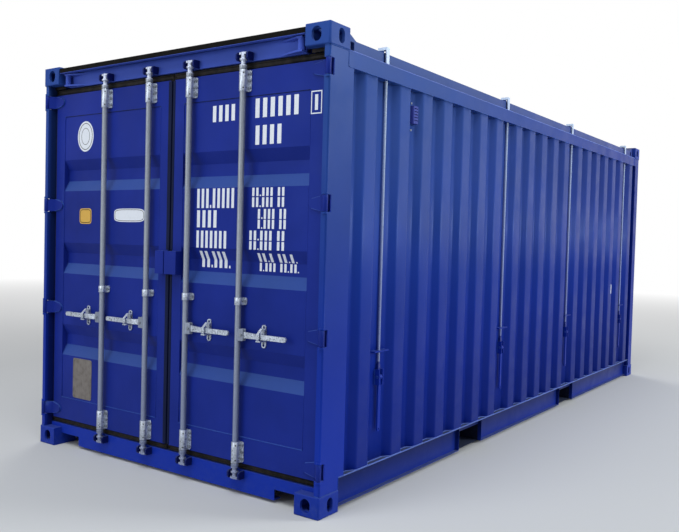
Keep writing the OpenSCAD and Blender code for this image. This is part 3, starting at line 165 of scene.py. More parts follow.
def paint_finish(name, colour, dusty=0.5, rough=0.40, ripple=0.0016, cast=0.0, painted_sky_sheen=0.0, grime_and_shade=0.0,
                 reveal_shade_pocket_light=False, painted_top_light=0.0, painted_low_light=0.0, shade=0.0, top_dust_and_sheen=0.26, far=0.0,
                 sheen=(0.38, 0.58, 1.0)):
    """Sprayed marine paint: faint mottling, runs, scratches, orange peel, and dust on what faces up
    (settled), which there also stands in for a painted sky reflection, and near the ground (dusty). chalk
    paints a sky reflection on the upper parts, less of it towards the front end, and weathered paints light
    on what faces up;
    deep paints light near the ground and far paints shade towards the front end; grime darkens all of it as
    dirt and painted shade, reveal paints shade on the sides of the door opening and light into the hinge
    pockets, and shade paints shade on a channel's set-back web. cast is the roughness of a casting's skin and
    sheen the tint of its gloss."""
    f = Finish(name, rough)
    f.bsdf.inputs["Specular IOR Level"].default_value = 0.14
    f.bsdf.inputs["Specular Tint"].default_value = rgb(*sheen)
    lighter = rgb(*[min(1.0, c * 1.22 + 0.0015) for c in colour])
    darker = rgb(*[c * 0.86 for c in colour])
    dust = rgb(*DUST_AND_SHEEN_RGB)
    base = f.mix(f.span(f.noise(1.7, 4), 0.3, 0.7), darker, lighter)
    base = f.mix(f.span(f.noise(9.0, 5), 0.42, 0.75, 0.0, 0.35), base, rgb(*colour))
    runs = f.span(f.noise(1.0, 4, (16, 16, 0.7)), 0.55, 0.8, 0.0, 0.18)
    base = f.mix(runs, base, lighter)
    # painted sky reflection on the upper parts, less of it towards the front end
    if painted_sky_sheen:
        wander = f.span(f.noise(2.4, 3, (1, 1, 0.3)), 0.25, 0.75, -0.12, 0.12)
        veil = f.span(f.calc("ADD", f.height(), wander), 0.75, 2.5, 0.0, painted_sky_sheen)
        veil = f.calc("MULTIPLY", veil, f.span(f.height("X"), -2.2, 2.9, 1.0, 0.12))
        base = f.mix(veil, base, rgb(*SKY_SHEEN_RGB))
    # painted light near the ground, a fuller and brighter blue
    if painted_low_light:
        base = f.mix(f.span(f.height(), 0.3, 1.6, painted_low_light, 0.0), base, rgb(*LOW_LIGHT_RGB))
    # painted shade towards the front end
    if far:
        base = f.mix(f.span(f.height("X"), -1.6, 2.9, 0.0, far), base, rgb(*FAR_SHADE_RGB))
    # painted light on what faces up
    if painted_top_light:
        base = f.mix(f.span(f.up(), 0.15, 0.5, 0.0, painted_top_light), base, rgb(*TOP_LIGHT_RGB))
    # painted shade on the sides of the door opening
    if reveal_shade_pocket_light:
        x, y = f.height("X"), f.calc("ABSOLUTE", f.height("Y"), 0.0)
        inside = f.calc("MULTIPLY", f.span(x, -3.019, -2.990), f.span(y, 1.1796, 1.1788))
        base = f.mix(f.calc("MULTIPLY", inside, 0.88), base, rgb(0.0030, 0.0040, 0.0160))
        # painted light in the hinge pockets
        near = f.calc("PINGPONG", f.calc("SUBTRACT", f.height(), HINGES[0]), (HINGES[1] - HINGES[0]) / 2)
        pocket = f.calc("MULTIPLY", f.span(near, 0.056, 0.053), f.span(y, 1.2136, 1.2126))
        pocket = f.calc("MULTIPLY", pocket, f.span(y, 1.1800, 1.1812))
        base = f.mix(f.calc("MULTIPLY", pocket, f.span(x, -3.0200, -3.0185)), base, rgb(0.060, 0.110, 0.720))
    if shade:
        back = f.span(f.calc("ABSOLUTE", f.height("Y"), 0.0), 1.2060, 1.2020)
        under = f.calc("MULTIPLY", back, f.span(f.height(), 0.030, 0.182, 0.25 * shade, shade))
        base = f.mix(under, base, rgb(0.0018, 0.0060, 0.0500))
    # dirt and painted shade darken all of it
    if grime_and_shade:
        base = f.mix(f.span(f.noise(7.0, 5), 0.25, 0.6, grime_and_shade * 0.8, grime_and_shade), base, rgb(0.010, 0.010, 0.013))
    low = f.span(f.height(), 0.0, 0.30, 1.0, 0.0)
    speck = f.span(f.noise(46, 6, rough=0.7), 0.45, 0.72)
    film = f.calc("MULTIPLY", f.calc("MULTIPLY", low, speck), 0.26 * dusty)
    # dust on what faces up, which also stands in for a painted sky reflection
    flat = f.calc("MULTIPLY", f.span(f.up(), 0.25, 1.0),
                  f.span(f.noise(12, 5), 0.3, 0.7, 0.6 * top_dust_and_sheen, top_dust_and_sheen))
    base = f.mix(f.calc("MAXIMUM", film, flat), base, dust)
    scratch = f.cells(3.2, (1, 1, 0.25), "DISTANCE_TO_EDGE").outputs["Distance"]
    thin = f.calc("MULTIPLY", f.span(scratch, 0.0, 0.0035, 1.0, 0.0), f.span(f.noise(2.3, 2), 0.56, 0.62))
    base = f.mix(f.calc("MULTIPLY", thin, 0.35), base, lighter)
    shine = f.calc("ADD", f.span(f.noise(5.5, 4), 0.3, 0.7, rough - 0.07, rough + 0.08),
                   f.calc("MULTIPLY", f.calc("MAXIMUM", film, flat), 0.4))
    under = f.bump(f.noise(3.4, 2), 0.55, ripple)
    if cast:
        under = f.bump(f.noise(95, 4), cast, 0.0012, under)
    return f.done(base, shine, f.bump(f.noise(310, 2), 0.06, 0.0004, under))


def zinc_finish(name, bright, grain, flakes=0.8, rough=0.42, metal=0.6, painted=0.0, cool=1.0, low=0.0):
    """Hot-dip zinc: crystals of differing greys, with stains. painted is the height below which it is blue,
    and with it comes painted shade that makes the rod darker and bluer below 2.2 m; cool is the blueness of
    the grey, and low how much a rod darkens towards its foot, with a painted glint on its ends."""
    f = Finish(name, rough, metal)
    flake = f.cells(grain).outputs["Color"]
    tone = f.node("ShaderNodeSeparateColor", {"Color": flake}).outputs[0]
    dull = rgb(bright * (0.73 - 0.07 * cool), bright * 0.73, bright * (0.75 + 0.11 * cool))
    clean = rgb(bright * (1.14 - 0.10 * cool), bright * 1.14, bright * (1.18 + 0.16 * cool))
    base = f.mix(f.span(tone, 0.0, 1.0, 0.5 - flakes / 2, 0.5 + flakes / 2), dull, clean)
    stain = f.span(f.noise(18, 5, (1, 1, 0.35)), 0.5, 0.78, 0.0, 0.5 * flakes)
    base = f.mix(stain, base, rgb(bright * 0.52, bright * 0.54, bright * 0.58))
    shine = f.span(tone, 0.0, 1.0, rough - 0.08, rough + 0.08)
    if low:
        # painted glint on the rod's ends
        tip_glint = f.calc("MAXIMUM", f.span(f.height(), 2.424, 2.430), f.span(f.height(), 0.168, 0.162))
        base = f.mix(f.calc("MULTIPLY", tip_glint, f.span(tone, 0.0, 1.0, 0.25, 1.0)), base, rgb(0.66, 0.72, 0.90))
        base = f.mix(f.span(f.height(), 0.4, 1.5, low, 0.0), base, rgb(0.085, 0.120, 0.280))
    if painted:
        # painted shade: darker and bluer below 2.2 m
        base = f.mix(f.span(f.height(), 1.1, 2.2, 0.80, 0.0), base, rgb(0.150, 0.190, 0.420))
        line = f.span(f.height(), painted - 0.002, painted + 0.002, 1.0, 0.0)
        base = f.mix(line, base, rgb(*BLUE_RGB))
        bare = f.calc("SUBTRACT", metal, f.calc("MULTIPLY", line, metal))
        f.tree.links.new(bare, f.bsdf.inputs["Metallic"])
    return f.done(base, shine, f.bump(f.noise(140, 4), 0.12, 0.0006))


def rubber_finish(name, grey, dust, gloss=0.2):
    """Matt rubber, or a dark line or hollow, with a film of brown dust."""
    f = Finish(name, 0.62)
    f.bsdf.inputs["Specular IOR Level"].default_value = gloss
    film = f.span(f.noise(22, 6, (1, 1, 0.5)), 0.4, 0.8, 0.0, dust)
    base = f.mix(film, rgb(grey, grey * 0.94, grey * 0.92), rgb(0.115, 0.088, 0.082))
    return f.done(base, f.span(f.noise(30, 3), 0.3, 0.7, 0.52, 0.74), f.bump(f.noise(420, 3), 0.10, 0.0004))


def timber_finish(name):
    """Floor boards with their joints."""
    f = Finish(name, 0.55)
    grain = f.noise(3.0, 8, (0.5, 9, 9), 0.7)
    base = f.mix(f.span(grain, 0.3, 0.7), rgb(0.16, 0.085, 0.040), rgb(0.33, 0.20, 0.105))
    board = f.node("ShaderNodeTexBrick", {
        "Vector": f.coord, "Color1": rgb(0.85, 0.85, 0.85), "Color2": rgb(1, 1, 1),
        "Mortar": rgb(0.12, 0.1, 0.09), "Scale": 1.0, "Mortar Size": 0.003, "Brick Width": 2.40,
        "Row Height": 1.16}, offset=0.0).outputs["Color"]
    base = f.mix(1.0, base, board, "MULTIPLY")
    return f.done(base, f.span(grain, 0.2, 0.8, 0.45, 0.65), f.bump(grain, 0.25, 0.0008))


def print_finish(name, colour, worn=0.25, rough=0.5):
    """Stencil paint or film over the paint, thin at places."""
    f = Finish(name, rough)
    patch = f.span(f.noise(70, 6, rough=0.7), 0.50, 0.82, 0.0, worn)
    base = f.mix(patch, rgb(*colour), rgb(colour[0] * 0.55, colour[1] * 0.57, colour[2] * 0.66))
    shine = f.span(f.noise(35, 3), 0.3, 0.7, rough - 0.06, rough + 0.08)
    return f.done(base, shine, f.bump(f.noise(260, 2), 0.06, 0.0003))


def plate_finish(name):
    """Bare rolled aluminium plate, scuffed and dusty."""
    f = Finish(name, 0.5, 0.55)
    brushed = f.noise(4, 6, (1, 60, 2), 0.6)
    base = f.mix(f.span(brushed, 0.3, 0.7), rgb(0.135, 0.122, 0.115), rgb(0.250, 0.225, 0.212))
    base = f.mix(f.span(f.noise(26, 6), 0.45, 0.72, 0.0, 0.6), base, rgb(0.085, 0.070, 0.062))
    return f.done(base, f.span(brushed, 0.2, 0.8, 0.42, 0.62), f.bump(f.noise(50, 5), 0.18, 0.0008))


DOOR_BLUE = paint_finish("blue_door_paint", (0.0078, 0.0195, 0.2080), painted_top_light=0.50)
BLUE = paint_finish("blue_paint", BLUE_RGB, painted_sky_sheen=0.50, painted_low_light=0.8, far=0.42, sheen=(0.26, 0.48, 1.0))
RAIL = paint_finish("blue_rail_paint", BLUE_RGB, dusty=0.25, painted_low_light=0.6, shade=0.95, top_dust_and_sheen=0.6)
ROOF = paint_finish("blue_roof_paint", (0.036, 0.050, 0.200), dusty=1.0, painted_sky_sheen=0.45, top_dust_and_sheen=0.5)
# painted highlight along the hinge blades' edges
BLADE_HIGHLIGHT = paint_finish("blue_blade_edge_highlight", (0.035, 0.070, 0.340), rough=0.42, ripple=0.0008)
# painted highlight, with pale dust, along the rail edges and the wall's foot
EDGE = paint_finish("blue_edge_highlight_and_dust", (0.095, 0.150, 0.460), rough=0.42, ripple=0.0008)
SHADED = paint_finish("blue_shaded_strip", (0.0042, 0.0062, 0.0300), dusty=0.2, rough=0.55, ripple=0.0006)
# painted shade on the cam keepers
KEEPER_SHADE = paint_finish("blue_keeper_painted_shade", (0.0040, 0.0085, 0.0900), dusty=0.3)
# header made lighter by painted light
HEADER_LIT = paint_finish("blue_header_painted_light", (0.0430, 0.0780, 0.3900), painted_top_light=0.50)
# underside darker by grime and painted shade
UNDER_SHADE = paint_finish("blue_underside_grime_and_shade", (0.004, 0.010, 0.070), rough=0.55, grime_and_shade=0.75)
CAST = paint_finish("blue_cast_steel", (0.0085, 0.027, 0.225), dusty=0.8, rough=0.46, ripple=0.0010,
                    cast=0.35, painted_sky_sheen=0.4, painted_low_light=0.5)
# welds lighter by painted highlight
WELD_HIGHLIGHT = paint_finish("blue_weld_highlight_paint", (0.018, 0.054, 0.300), dusty=1.2, rough=0.38, ripple=0.0008, painted_sky_sheen=0.5)
VENT = paint_finish("blue_moulded_plastic", (0.045, 0.060, 0.290), rough=0.5, ripple=0.0004)
ZINC = zinc_finish("galvanised_steel", 0.56, 120.0, 1.0, 0.34, 0.6)
BRIGHT = zinc_finish("galvanised_rod", 0.34, 160.0, 0.35, 0.36, 0.35, low=0.55)
TIE = zinc_finish("galvanised_tie_rod", 0.62, 160.0, 0.35, 0.34, 0.15, painted=0.768, cool=2.0)
POST = paint_finish("blue_post_paint", BLUE_RGB, painted_sky_sheen=0.50, reveal_shade_pocket_light=True, painted_low_light=0.8)
BOLT = zinc_finish("zinc_bolts", 0.28, 260.0)
RUBBER = rubber_finish("black_rubber", 0.0035, 0.02, 0.05)
GASKET = rubber_finish("door_gasket_rubber", 0.009, 0.24, 0.12)
TIMBER = timber_finish("floor_timber")
WHITE = print_finish("white_marking", (0.72, 0.75, 0.82))
AMBER = print_finish("amber_marking", (0.62, 0.36, 0.055), 0.2)
PLATE = plate_finish("bare_metal_plate")
DARK = rubber_finish("dark_hole", 0.010, 0.1)

SLOT_FINISH = {"blue_paint": BLUE, "galvanised_steel": ZINC, "black_rubber": RUBBER, "floor_timber": TIMBER}
slot_of = {p["node"]: p["material_slot"] for p in frame["record"]["subparts"]}
NODE_FINISH = {node: mat for mat, nodes in (
    (DOOR_BLUE, "door_leaf_right door_leaf_left"), (HEADER_LIT, "door_header"), (KEEPER_SHADE, "cam_keepers"),
    (POST, "door_post_right door_post_left"), (RAIL, "bottom_side_rail_right bottom_side_rail_left"),
    (CAST, "bottom_castings top_castings"), (UNDER_SHADE, "fork_pockets crossmembers"), (VENT, "wall_vents"),
    (GASKET, "door_gasket_right door_gasket_left"), (ROOF, "roof_frame"),
    (BRIGHT, "lock_rod_1 lock_rod_2 lock_rod_3 lock_rod_4"),
    (TIE, "tie_rods_left tie_rod_1 tie_rod_2 tie_rod_3 tie_rod_4")) for node in nodes.split()}
for node_name, obj in frame["nodes"].items():
    obj.data.materials.clear()
    obj.data.materials.append(NODE_FINISH.get(node_name, SLOT_FINISH[slot_of[node_name]]))


# ---------------------------------------------------------------- mesh helpers
class Mesh:
    """Vertices and faces of one joined piece."""

    def __init__(self):
        self.verts, self.faces, self.smooth = [], [], []

    def add(self, verts, faces, smooth=False):
        n = len(self.verts)
        self.verts += [tuple(v) for v in verts]
        self.faces += [tuple(i + n for i in f) for f in faces]
        self.smooth += [smooth] * len(faces)

    def box(self, lo, hi):
        (x0, y0, z0), (x1, y1, z1) = lo, hi
        v = [(x, y, z) for x in (x0, x1) for y in (y0, y1) for z in (z0, z1)]
        self.add(v, [(0, 1, 3, 2), (4, 6, 7, 5), (0, 4, 5, 1), (2, 3, 7, 6), (0, 2, 6, 4), (1, 5, 7, 3)])

    def prism(self, outline, origin, u, v, w, smooth=False):
        """Outline in the plane of u and v at origin, thick along w."""
        o, u, v, w = Vector(origin), Vector(u), Vector(v), Vector(w)
        base = [o + u * a + v * b for a, b in outline]
        n = len(base)
        area = sum(p[0] * q[1] - q[0] * p[1] for p, q in zip(outline, list(outline[1:]) + [outline[0]]))
        if area * u.cross(v).dot(w) < 0:
            base.reverse()
        self.add(base + [p + w for p in base], [tuple(reversed(range(n))), tuple(range(n, 2 * n))])
        k = len(self.verts) - 2 * n
        for i in range(n):
            j = (i + 1) % n
            self.faces.append((k + i, k + j, k + n + j, k + n + i))
            self.smooth.append(smooth)

    def disc(self, centre, axis, r, h, sides=6, turn=0.0, taper=1.0):
        a = Vector(axis).normalized()
        u = a.orthogonal().normalized()
        v = a.cross(u)
        c = Vector(centre)
        ring = [u * math.cos(turn + 2 * math.pi * i / sides) + v * math.sin(turn + 2 * math.pi * i / sides)
                for i in range(sides)]
        verts = [c + p * r for p in ring] + [c + a * h + p * r * taper for p in ring]
        faces = [tuple(reversed(range(sides))), tuple(range(sides, 2 * sides))]
        self.add(verts, faces)
        k = len(self.verts) - 2 * sides
        for i in range(sides):
            j = (i + 1) % sides
            self.faces.append((k + i, k + j, k + sides + j, k + sides + i))
            self.smooth.append(sides > 8)

    def tube(self, points, r, sides, lumps=0.0):
        """Round bead along points, with ripples like a weld."""
        pts = [Vector(p) for p in points]
        rings = []
        for i, p in enumerate(pts):
            d = (pts[min(i + 1, len(pts) - 1)] - pts[max(i - 1, 0)]).normalized()
            u = d.orthogonal().normalized()
            v = d.cross(u)
            rr = r * (1.0 + lumps * rng.uniform(-1, 1))
            turns = [2 * math.pi * k / sides for k in range(sides)]
            rings.append([p + (u * math.cos(a) + v * math.sin(a)) * rr for a in turns])
        n = len(self.verts)
        self.verts += [tuple(q) for ring in rings for q in ring]
        for i in range(len(rings) - 1):
            for k in range(sides):
                m = (k + 1) % sides
                a, b = n + i * sides, n + (i + 1) * sides
                self.faces.append((a + k, a + m, b + m, b + k))
                self.smooth.append(True)
        for ring, back in ((0, True), (len(rings) - 1, False)):
            loop = [n + ring * sides + k for k in range(sides)]
            self.faces.append(tuple(reversed(loop)) if back else tuple(loop))
            self.smooth.append(False)

    def piece(self, name, mat, body, slot, bevel=0.0):
        data = bpy.data.meshes.new(name)
        data.from_pydata(self.verts, [], self.faces)
        data.update()
        data.polygons.foreach_set("use_smooth", self.smooth)
        data.materials.append(mat)
        obj = bpy.data.objects.new(name, data)
        bpy.context.scene.collection.objects.link(obj)
        if bevel:
            m = obj.modifiers.new("edge", "BEVEL")
            m.width, m.segments, m.limit_method, m.angle_limit = bevel, 2, "ANGLE", math.radians(40)
            m.harden_normals = True
        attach(obj, body)
        return obj


# ---------------------------------------------------------------- softened CAD edges
def soften(node_name, width):
    """Rounds the edges of a CAD piece as plate and castings have them."""
    obj = frame["nodes"][node_name]
    obj.modifiers.new("join", "WELD").merge_threshold = 0.00002
    d = obj.modifiers.new("flat", "DECIMATE")
    d.decimate_type, d.angle_limit = "DISSOLVE", math.radians(1.0)
    m = obj.modifiers.new("edge", "BEVEL")
    m.width, m.segments, m.limit_method, m.angle_limit = width, 2, "ANGLE", math.radians(35)
    m.harden_normals = True


EDGES = {0.005: "bottom_castings top_castings",
         0.0025: "door_post_right door_post_left front_posts bottom_side_rail_right bottom_side_rail_left "
                 "top_side_rail_right top_side_rail_left door_sill door_header front_sill front_top_rail "
                 "door_leaf_right door_leaf_left fork_pockets crossmembers roof_frame",
         0.0015: "cam_keepers roof_seals tie_levers_left tie_lever_1 tie_lever_2 tie_lever_3 tie_lever_4 "
                 "tie_brackets roof_panel",
         0.0010: "door_gear_right door_gear_left handle_1 handle_2 handle_3 handle_4 lock_rod_1 lock_rod_2 "
                 "lock_rod_3 lock_rod_4 tie_rods_left tie_rod_1 tie_rod_2 tie_rod_3 tie_rod_4 wall_vents"}
for width, names in EDGES.items():
    for node_name in names.split():
        soften(node_name, width)


# ---------------------------------------------------------------- folded walls
def folded_line(u0, u1, centres, flat, slope, a, b):
    """Sharp line in plan at depth a, with a fold out to depth b at each centre."""
    pts = [(u0, a)]
    for c in centres:
        pts += [(c - flat / 2 - slope, a), (c - flat / 2, b), (c + flat / 2, b), (c + flat / 2 + slope, a)]
    return pts + [(u1, a)]


def rounded(pts, r, steps=4):
    """The same line with its bends rounded."""
    out = [pts[0]]
    for p, q, s in zip(pts, pts[1:], pts[2:]):
        q0 = Vector(q)
        d0, d1 = (q0 - Vector(p)), (Vector(s) - q0)
        if d0.length < 1e-6 or d1.length < 1e-6:
            continue
        reach = min(r, d0.length * 0.45, d1.length * 0.45)
        a, b = q0 - d0.normalized() * reach, q0 + d1.normalized() * reach
        for i in range(steps + 1):
            t = i / steps
            out.append(tuple(a * (1 - t) ** 2 + q0 * 2 * t * (1 - t) + b * t * t))
    return out + [pts[-1]]


def wall_sheet(mesh, line, place, z0, z1, thick):
    """Sheet that follows line in plan, with its back thick away; place(u, v, z) gives a point."""
    back = []
    for i, p in enumerate(line):
        d = Vector(line[min(i + 1, len(line) - 1)]) - Vector(line[max(i - 1, 0)])
        n = Vector((-d.y, d.x)).normalized() * thick
        back.append((p[0] + n.x, p[1] + n.y))
    n = len(line)
    verts = [place(u, v, z) for plan in (line, back) for z in (z0, z1) for u, v in plan]
    off = 2 * n
    faces, k = [], len(mesh.verts)
    for i in range(n - 1):
        a, b, c, d = i, i + 1, n + i + 1, n + i
        faces += [(a, b, c, d), (off + a, off + d, off + c, off + b)]
    mesh.add(verts, faces, True)
    rims = []
    for i in range(n - 1):
        rims += [(i, off + i, off + i + 1, i + 1), (n + i, n + i + 1, off + n + i + 1, off + n + i)]
    rims += [(0, n, off + n, off), (n - 1, off + n - 1, off + 2 * n - 1, 2 * n - 1)]
    mesh.faces += [tuple(q + k for q in f) for f in rims]
    mesh.smooth += [False] * len(rims)


PITCH, WIDE, FLAT, SLOPE = 0.275, 0.370, 0.114, 0.050
WALL_MID = (WALL_X0 + WALL_X1) / 2
WIDE_MID = 2 * PITCH + WIDE / 2
WIDE_END = WIDE_MID + WIDE + 5 * PITCH
FOLDS = sorted(WALL_MID + d for d in
               [-WIDE_END - WIDE / 2, WIDE_END + WIDE / 2]
               + [-WIDE_END + WIDE / 2 + i * PITCH for i in range(6)]
               + [(i - 2) * PITCH for i in range(5)]
               + [WIDE_MID + WIDE / 2 + i * PITCH for i in range(6)])
BEND = 0.011
side_line = rounded(folded_line(WALL_X0, WALL_X1, FOLDS, FLAT, SLOPE, RECESS_Y, FACE_Y), BEND)
for side, sign in (("right", 1), ("left", -1)):
    m = Mesh()
    wall_sheet(m, side_line if sign > 0 else side_line[::-1],
               lambda u, v, z, s=sign: (u, v * s, z), WALL_Z0, WALL_Z1,
               SHEET if sign > 0 else -SHEET)
    wall = m.piece("side_wall_" + side + "_sheet", BLUE, "frame", "blue_paint")
    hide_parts("side_wall_" + side)

front_folds = [(i - 4) * 0.250 for i in range(9)]
front_line = rounded(folded_line(-1.170, 1.170, front_folds, 0.110, 0.018, -2.971, -3.017), 0.009)
m = Mesh()
wall_sheet(m, front_line, lambda u, v, z: (-v, u, z), SILL_Z, HEADER_Z0, SHEET)
wall = m.piece("front_wall_sheet", BLUE, "frame", "blue_paint")
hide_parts("front_wall")


# ---------------------------------------------------------------- door surface
def door_x(y, z):
    """Front of a leaf at a point: its frame stands proud and the panel follows the troughs."""
    if not (PANEL_Y[0] < abs(y) < PANEL_Y[1] and PANEL_Z[0] < z < PANEL_Z[1]):
        return DOOR_X
    for c in TROUGHS:
        if abs(z - c) < TROUGH_H / 2:
            return PANEL_X + TROUGH_DEPTH * min(1.0, (TROUGH_H / 2 - abs(z - c)) / TROUGH_SLOPE)
    return PANEL_X


def film(mesh, y0, y1, z0, z1, t=0.0005):
    """Flat film on a leaf that bends with the panel."""
    zs = sorted([z0, z1] + [z for z in TROUGH_BREAKS if z0 + 0.002 < z < z1 - 0.002])
    verts = []
    for z in zs:
        x = door_x((y0 + y1) / 2, z)
        verts += [(x - t, y0, z), (x - t, y1, z), (x, y1, z), (x, y0, z)]
    faces = [(3, 2, 1, 0), tuple(range(len(verts) - 4, len(verts)))]
    for i in range(len(zs) - 1):
        a, b = 4 * i, 4 * i + 4
        faces += [(a + j, a + (j + 1) % 4, b + (j + 1) % 4, b + j) for j in range(4)]
    mesh.add(verts, faces)


def oval(cy, cz, ry, rz, power=1.0, sides=40):
    """Ellipse about a point in y and z; a power below 1 squares it off."""
    pts = []
    for i in range(sides):
        a = 2 * math.pi * i / sides
        c, s = math.cos(a), math.sin(a)
        pts.append((cy + ry * math.copysign(abs(c) ** power, c), cz + rz * math.copysign(abs(s) ** power, s)))
    return pts


def badge(mesh, outline, x, t=0.0006):
    """Flat plate on the face at x."""
    mesh.prism(outline, (x - t, 0, 0), (0, 1, 0), (0, 0, 1), (t, 0, 0))


def border(mesh, outline, x, w, t=0.0004):
    """Raised line just inside an outline."""
    cy = sum(p[0] for p in outline) / len(outline)
    cz = sum(p[1] for p in outline) / len(outline)
    ry, rz = max(abs(p[0] - cy) for p in outline), max(abs(p[1] - cz) for p in outline)
    inner = [(cy + (y - cy) * (1 - w / ry), cz + (z - cz) * (1 - w / rz)) for y, z in outline]
    n = len(outline)
    verts = [(xx, y, z) for ring in (outline, inner) for xx in (x, x - t) for y, z in ring]
    faces = []
    for i in range(n):
        j = (i + 1) % n
        faces += [(i, j, n + j, n + i), (n + i, n + j, 3 * n + j, 3 * n + i),
                  (3 * n + i, 3 * n + j, 2 * n + j, 2 * n + i), (2 * n + i, 2 * n + j, j, i)]
    mesh.add(verts, faces)


# ---------------------------------------------------------------- markings, with plain bars for the lettering
def bars(mesh, sign, y0, y1, z0, z1, pattern):
    """One bar for each #, a low dot for each point and a space for each blank."""
    wide = {"#": 1.0, ".": 0.45, " ": 0.75}
    unit = (y1 - y0) / sum(wide[c] for c in pattern)
    y = y0
    for c in pattern:
        w = wide[c] * unit
        if c == "#":
            film(mesh, *sorted((sign * (y + 0.20 * w), sign * (y + 0.74 * w))), z0, z1)
        elif c == ".":
            film(mesh, *sorted((sign * (y + 0.15 * w), sign * (y + 0.75 * w))), z0, z0 + 0.16 * (z1 - z0))
        y += w


white = Mesh()
for row in ((0.330, 0.526, 2.134, 2.228, "####"), (0.657, 0.989, 2.137, 2.244, "######"),
            (0.662, 0.873, 1.987, 2.094, "####"),
            (0.217, 0.530, 1.635, 1.749, "###.#####"), (0.217, 0.397, 1.521, 1.622, "####"),
            (0.217, 0.475, 1.401, 1.502, "#######"), (0.233, 0.475, 1.286, 1.382, "##.###."),
            (0.652, 0.898, 1.701, 1.748, "##.### ##"), (0.652, 0.898, 1.640, 1.694, "##.### ##"),
            (0.697, 0.913, 1.574, 1.629, "#.### ##"), (0.697, 0.913, 1.519, 1.569, "#.### ##"),
            (0.637, 0.905, 1.454, 1.508, "##.### ##"), (0.637, 0.905, 1.401, 1.448, "##.### ##"),
            (0.689, 0.972, 1.334, 1.382, "##.# ##.#."), (0.689, 0.980, 1.281, 1.328, "#.### ##.##.")):
    bars(white, -1, *row)
for y0, y1, z0, z1 in ((1.060, 1.132, 2.130, 2.136), (1.060, 1.132, 2.246, 2.252),
                       (1.060, 1.066, 2.136, 2.246), (1.126, 1.132, 2.136, 2.246),
                       (1.086, 1.106, 2.150, 2.232)):
    film(white, -y1, -y0, z0, z1)
white.piece("marking_bars", WHITE, "door_right", "blue_paint")

ROUND_BADGE, LONG_BADGE, AMBER_BADGE = (0.8385, 2.1165), (0.385, 1.590), (0.8275, 1.583)
MARK_X = PANEL_X - 0.0006
left = Mesh()
badge(left, oval(*ROUND_BADGE, 0.0835, 0.1015), PANEL_X)
badge(left, oval(*LONG_BADGE, 0.147, 0.043, 0.45), PANEL_X)
left.piece("plain_badges", WHITE, "door_left", "blue_paint")
lines = Mesh()
border(lines, oval(*ROUND_BADGE, 0.072, 0.089), MARK_X, 0.004)
border(lines, oval(*ROUND_BADGE, 0.044, 0.056), MARK_X, 0.003)
border(lines, oval(*LONG_BADGE, 0.140, 0.037, 0.45), MARK_X, 0.003)
border(lines, oval(*AMBER_BADGE, 0.056, 0.045, 0.35), MARK_X, 0.004)
lines.piece("badge_lines", DARK, "door_left", "black_rubber")
amber = Mesh()
badge(amber, oval(*AMBER_BADGE, 0.063, 0.052, 0.35), PANEL_X)
amber.piece("amber_plate", AMBER, "door_left", "blue_paint")

plate = Mesh()
PLATE_BOX = (0.738, 0.937, 0.344, 0.616)
mid_y, mid_z = (PLATE_BOX[0] + PLATE_BOX[1]) / 2, (PLATE_BOX[2] + PLATE_BOX[3]) / 2
edge = oval(mid_y, mid_z, 0.0995, 0.136, 0.12, 64)
badge(plate, edge, PANEL_X, 0.0015)
border(plate, edge, PANEL_X - 0.0015, 0.006, 0.0006)
for z in (0.440, 0.520):
    plate.box((PANEL_X - 0.0020, PLATE_BOX[0] + 0.012, z - 0.001),
              (PANEL_X - 0.0015, PLATE_BOX[1] - 0.012, z + 0.001))
for y in (PLATE_BOX[0] + 0.014, PLATE_BOX[1] - 0.014):
    for z in (PLATE_BOX[2] + 0.016, PLATE_BOX[3] - 0.016):
        plate.disc((PANEL_X - 0.0014, y, z), (-1, 0, 0), 0.0055, 0.0030, 12, taper=0.6)
plate.piece("data_plate", PLATE, "door_left", "galvanised_steel")

mark = Mesh()
mark.box((2.098, FACE_Y - 0.0006, 0.975), (2.116, FACE_Y, 1.070))
mark.piece("side_tag", WHITE, "frame", "blue_paint")


# ---------------------------------------------------------------- welds, seals and lips
def along(points, step):
    """Points about a step apart on the line through the given ones."""
    out = [Vector(points[0])]
    for a, b in zip(points, points[1:]):
        a, b = Vector(a), Vector(b)
        n = max(1, int((b - a).length / step))
        out += [a.lerp(b, i / n) for i in range(1, n + 1)]
    return out


def weld(mesh, points, r, step=0.014, lumps=0.2):
    mesh.tube(along(points, step), r, 5, lumps)


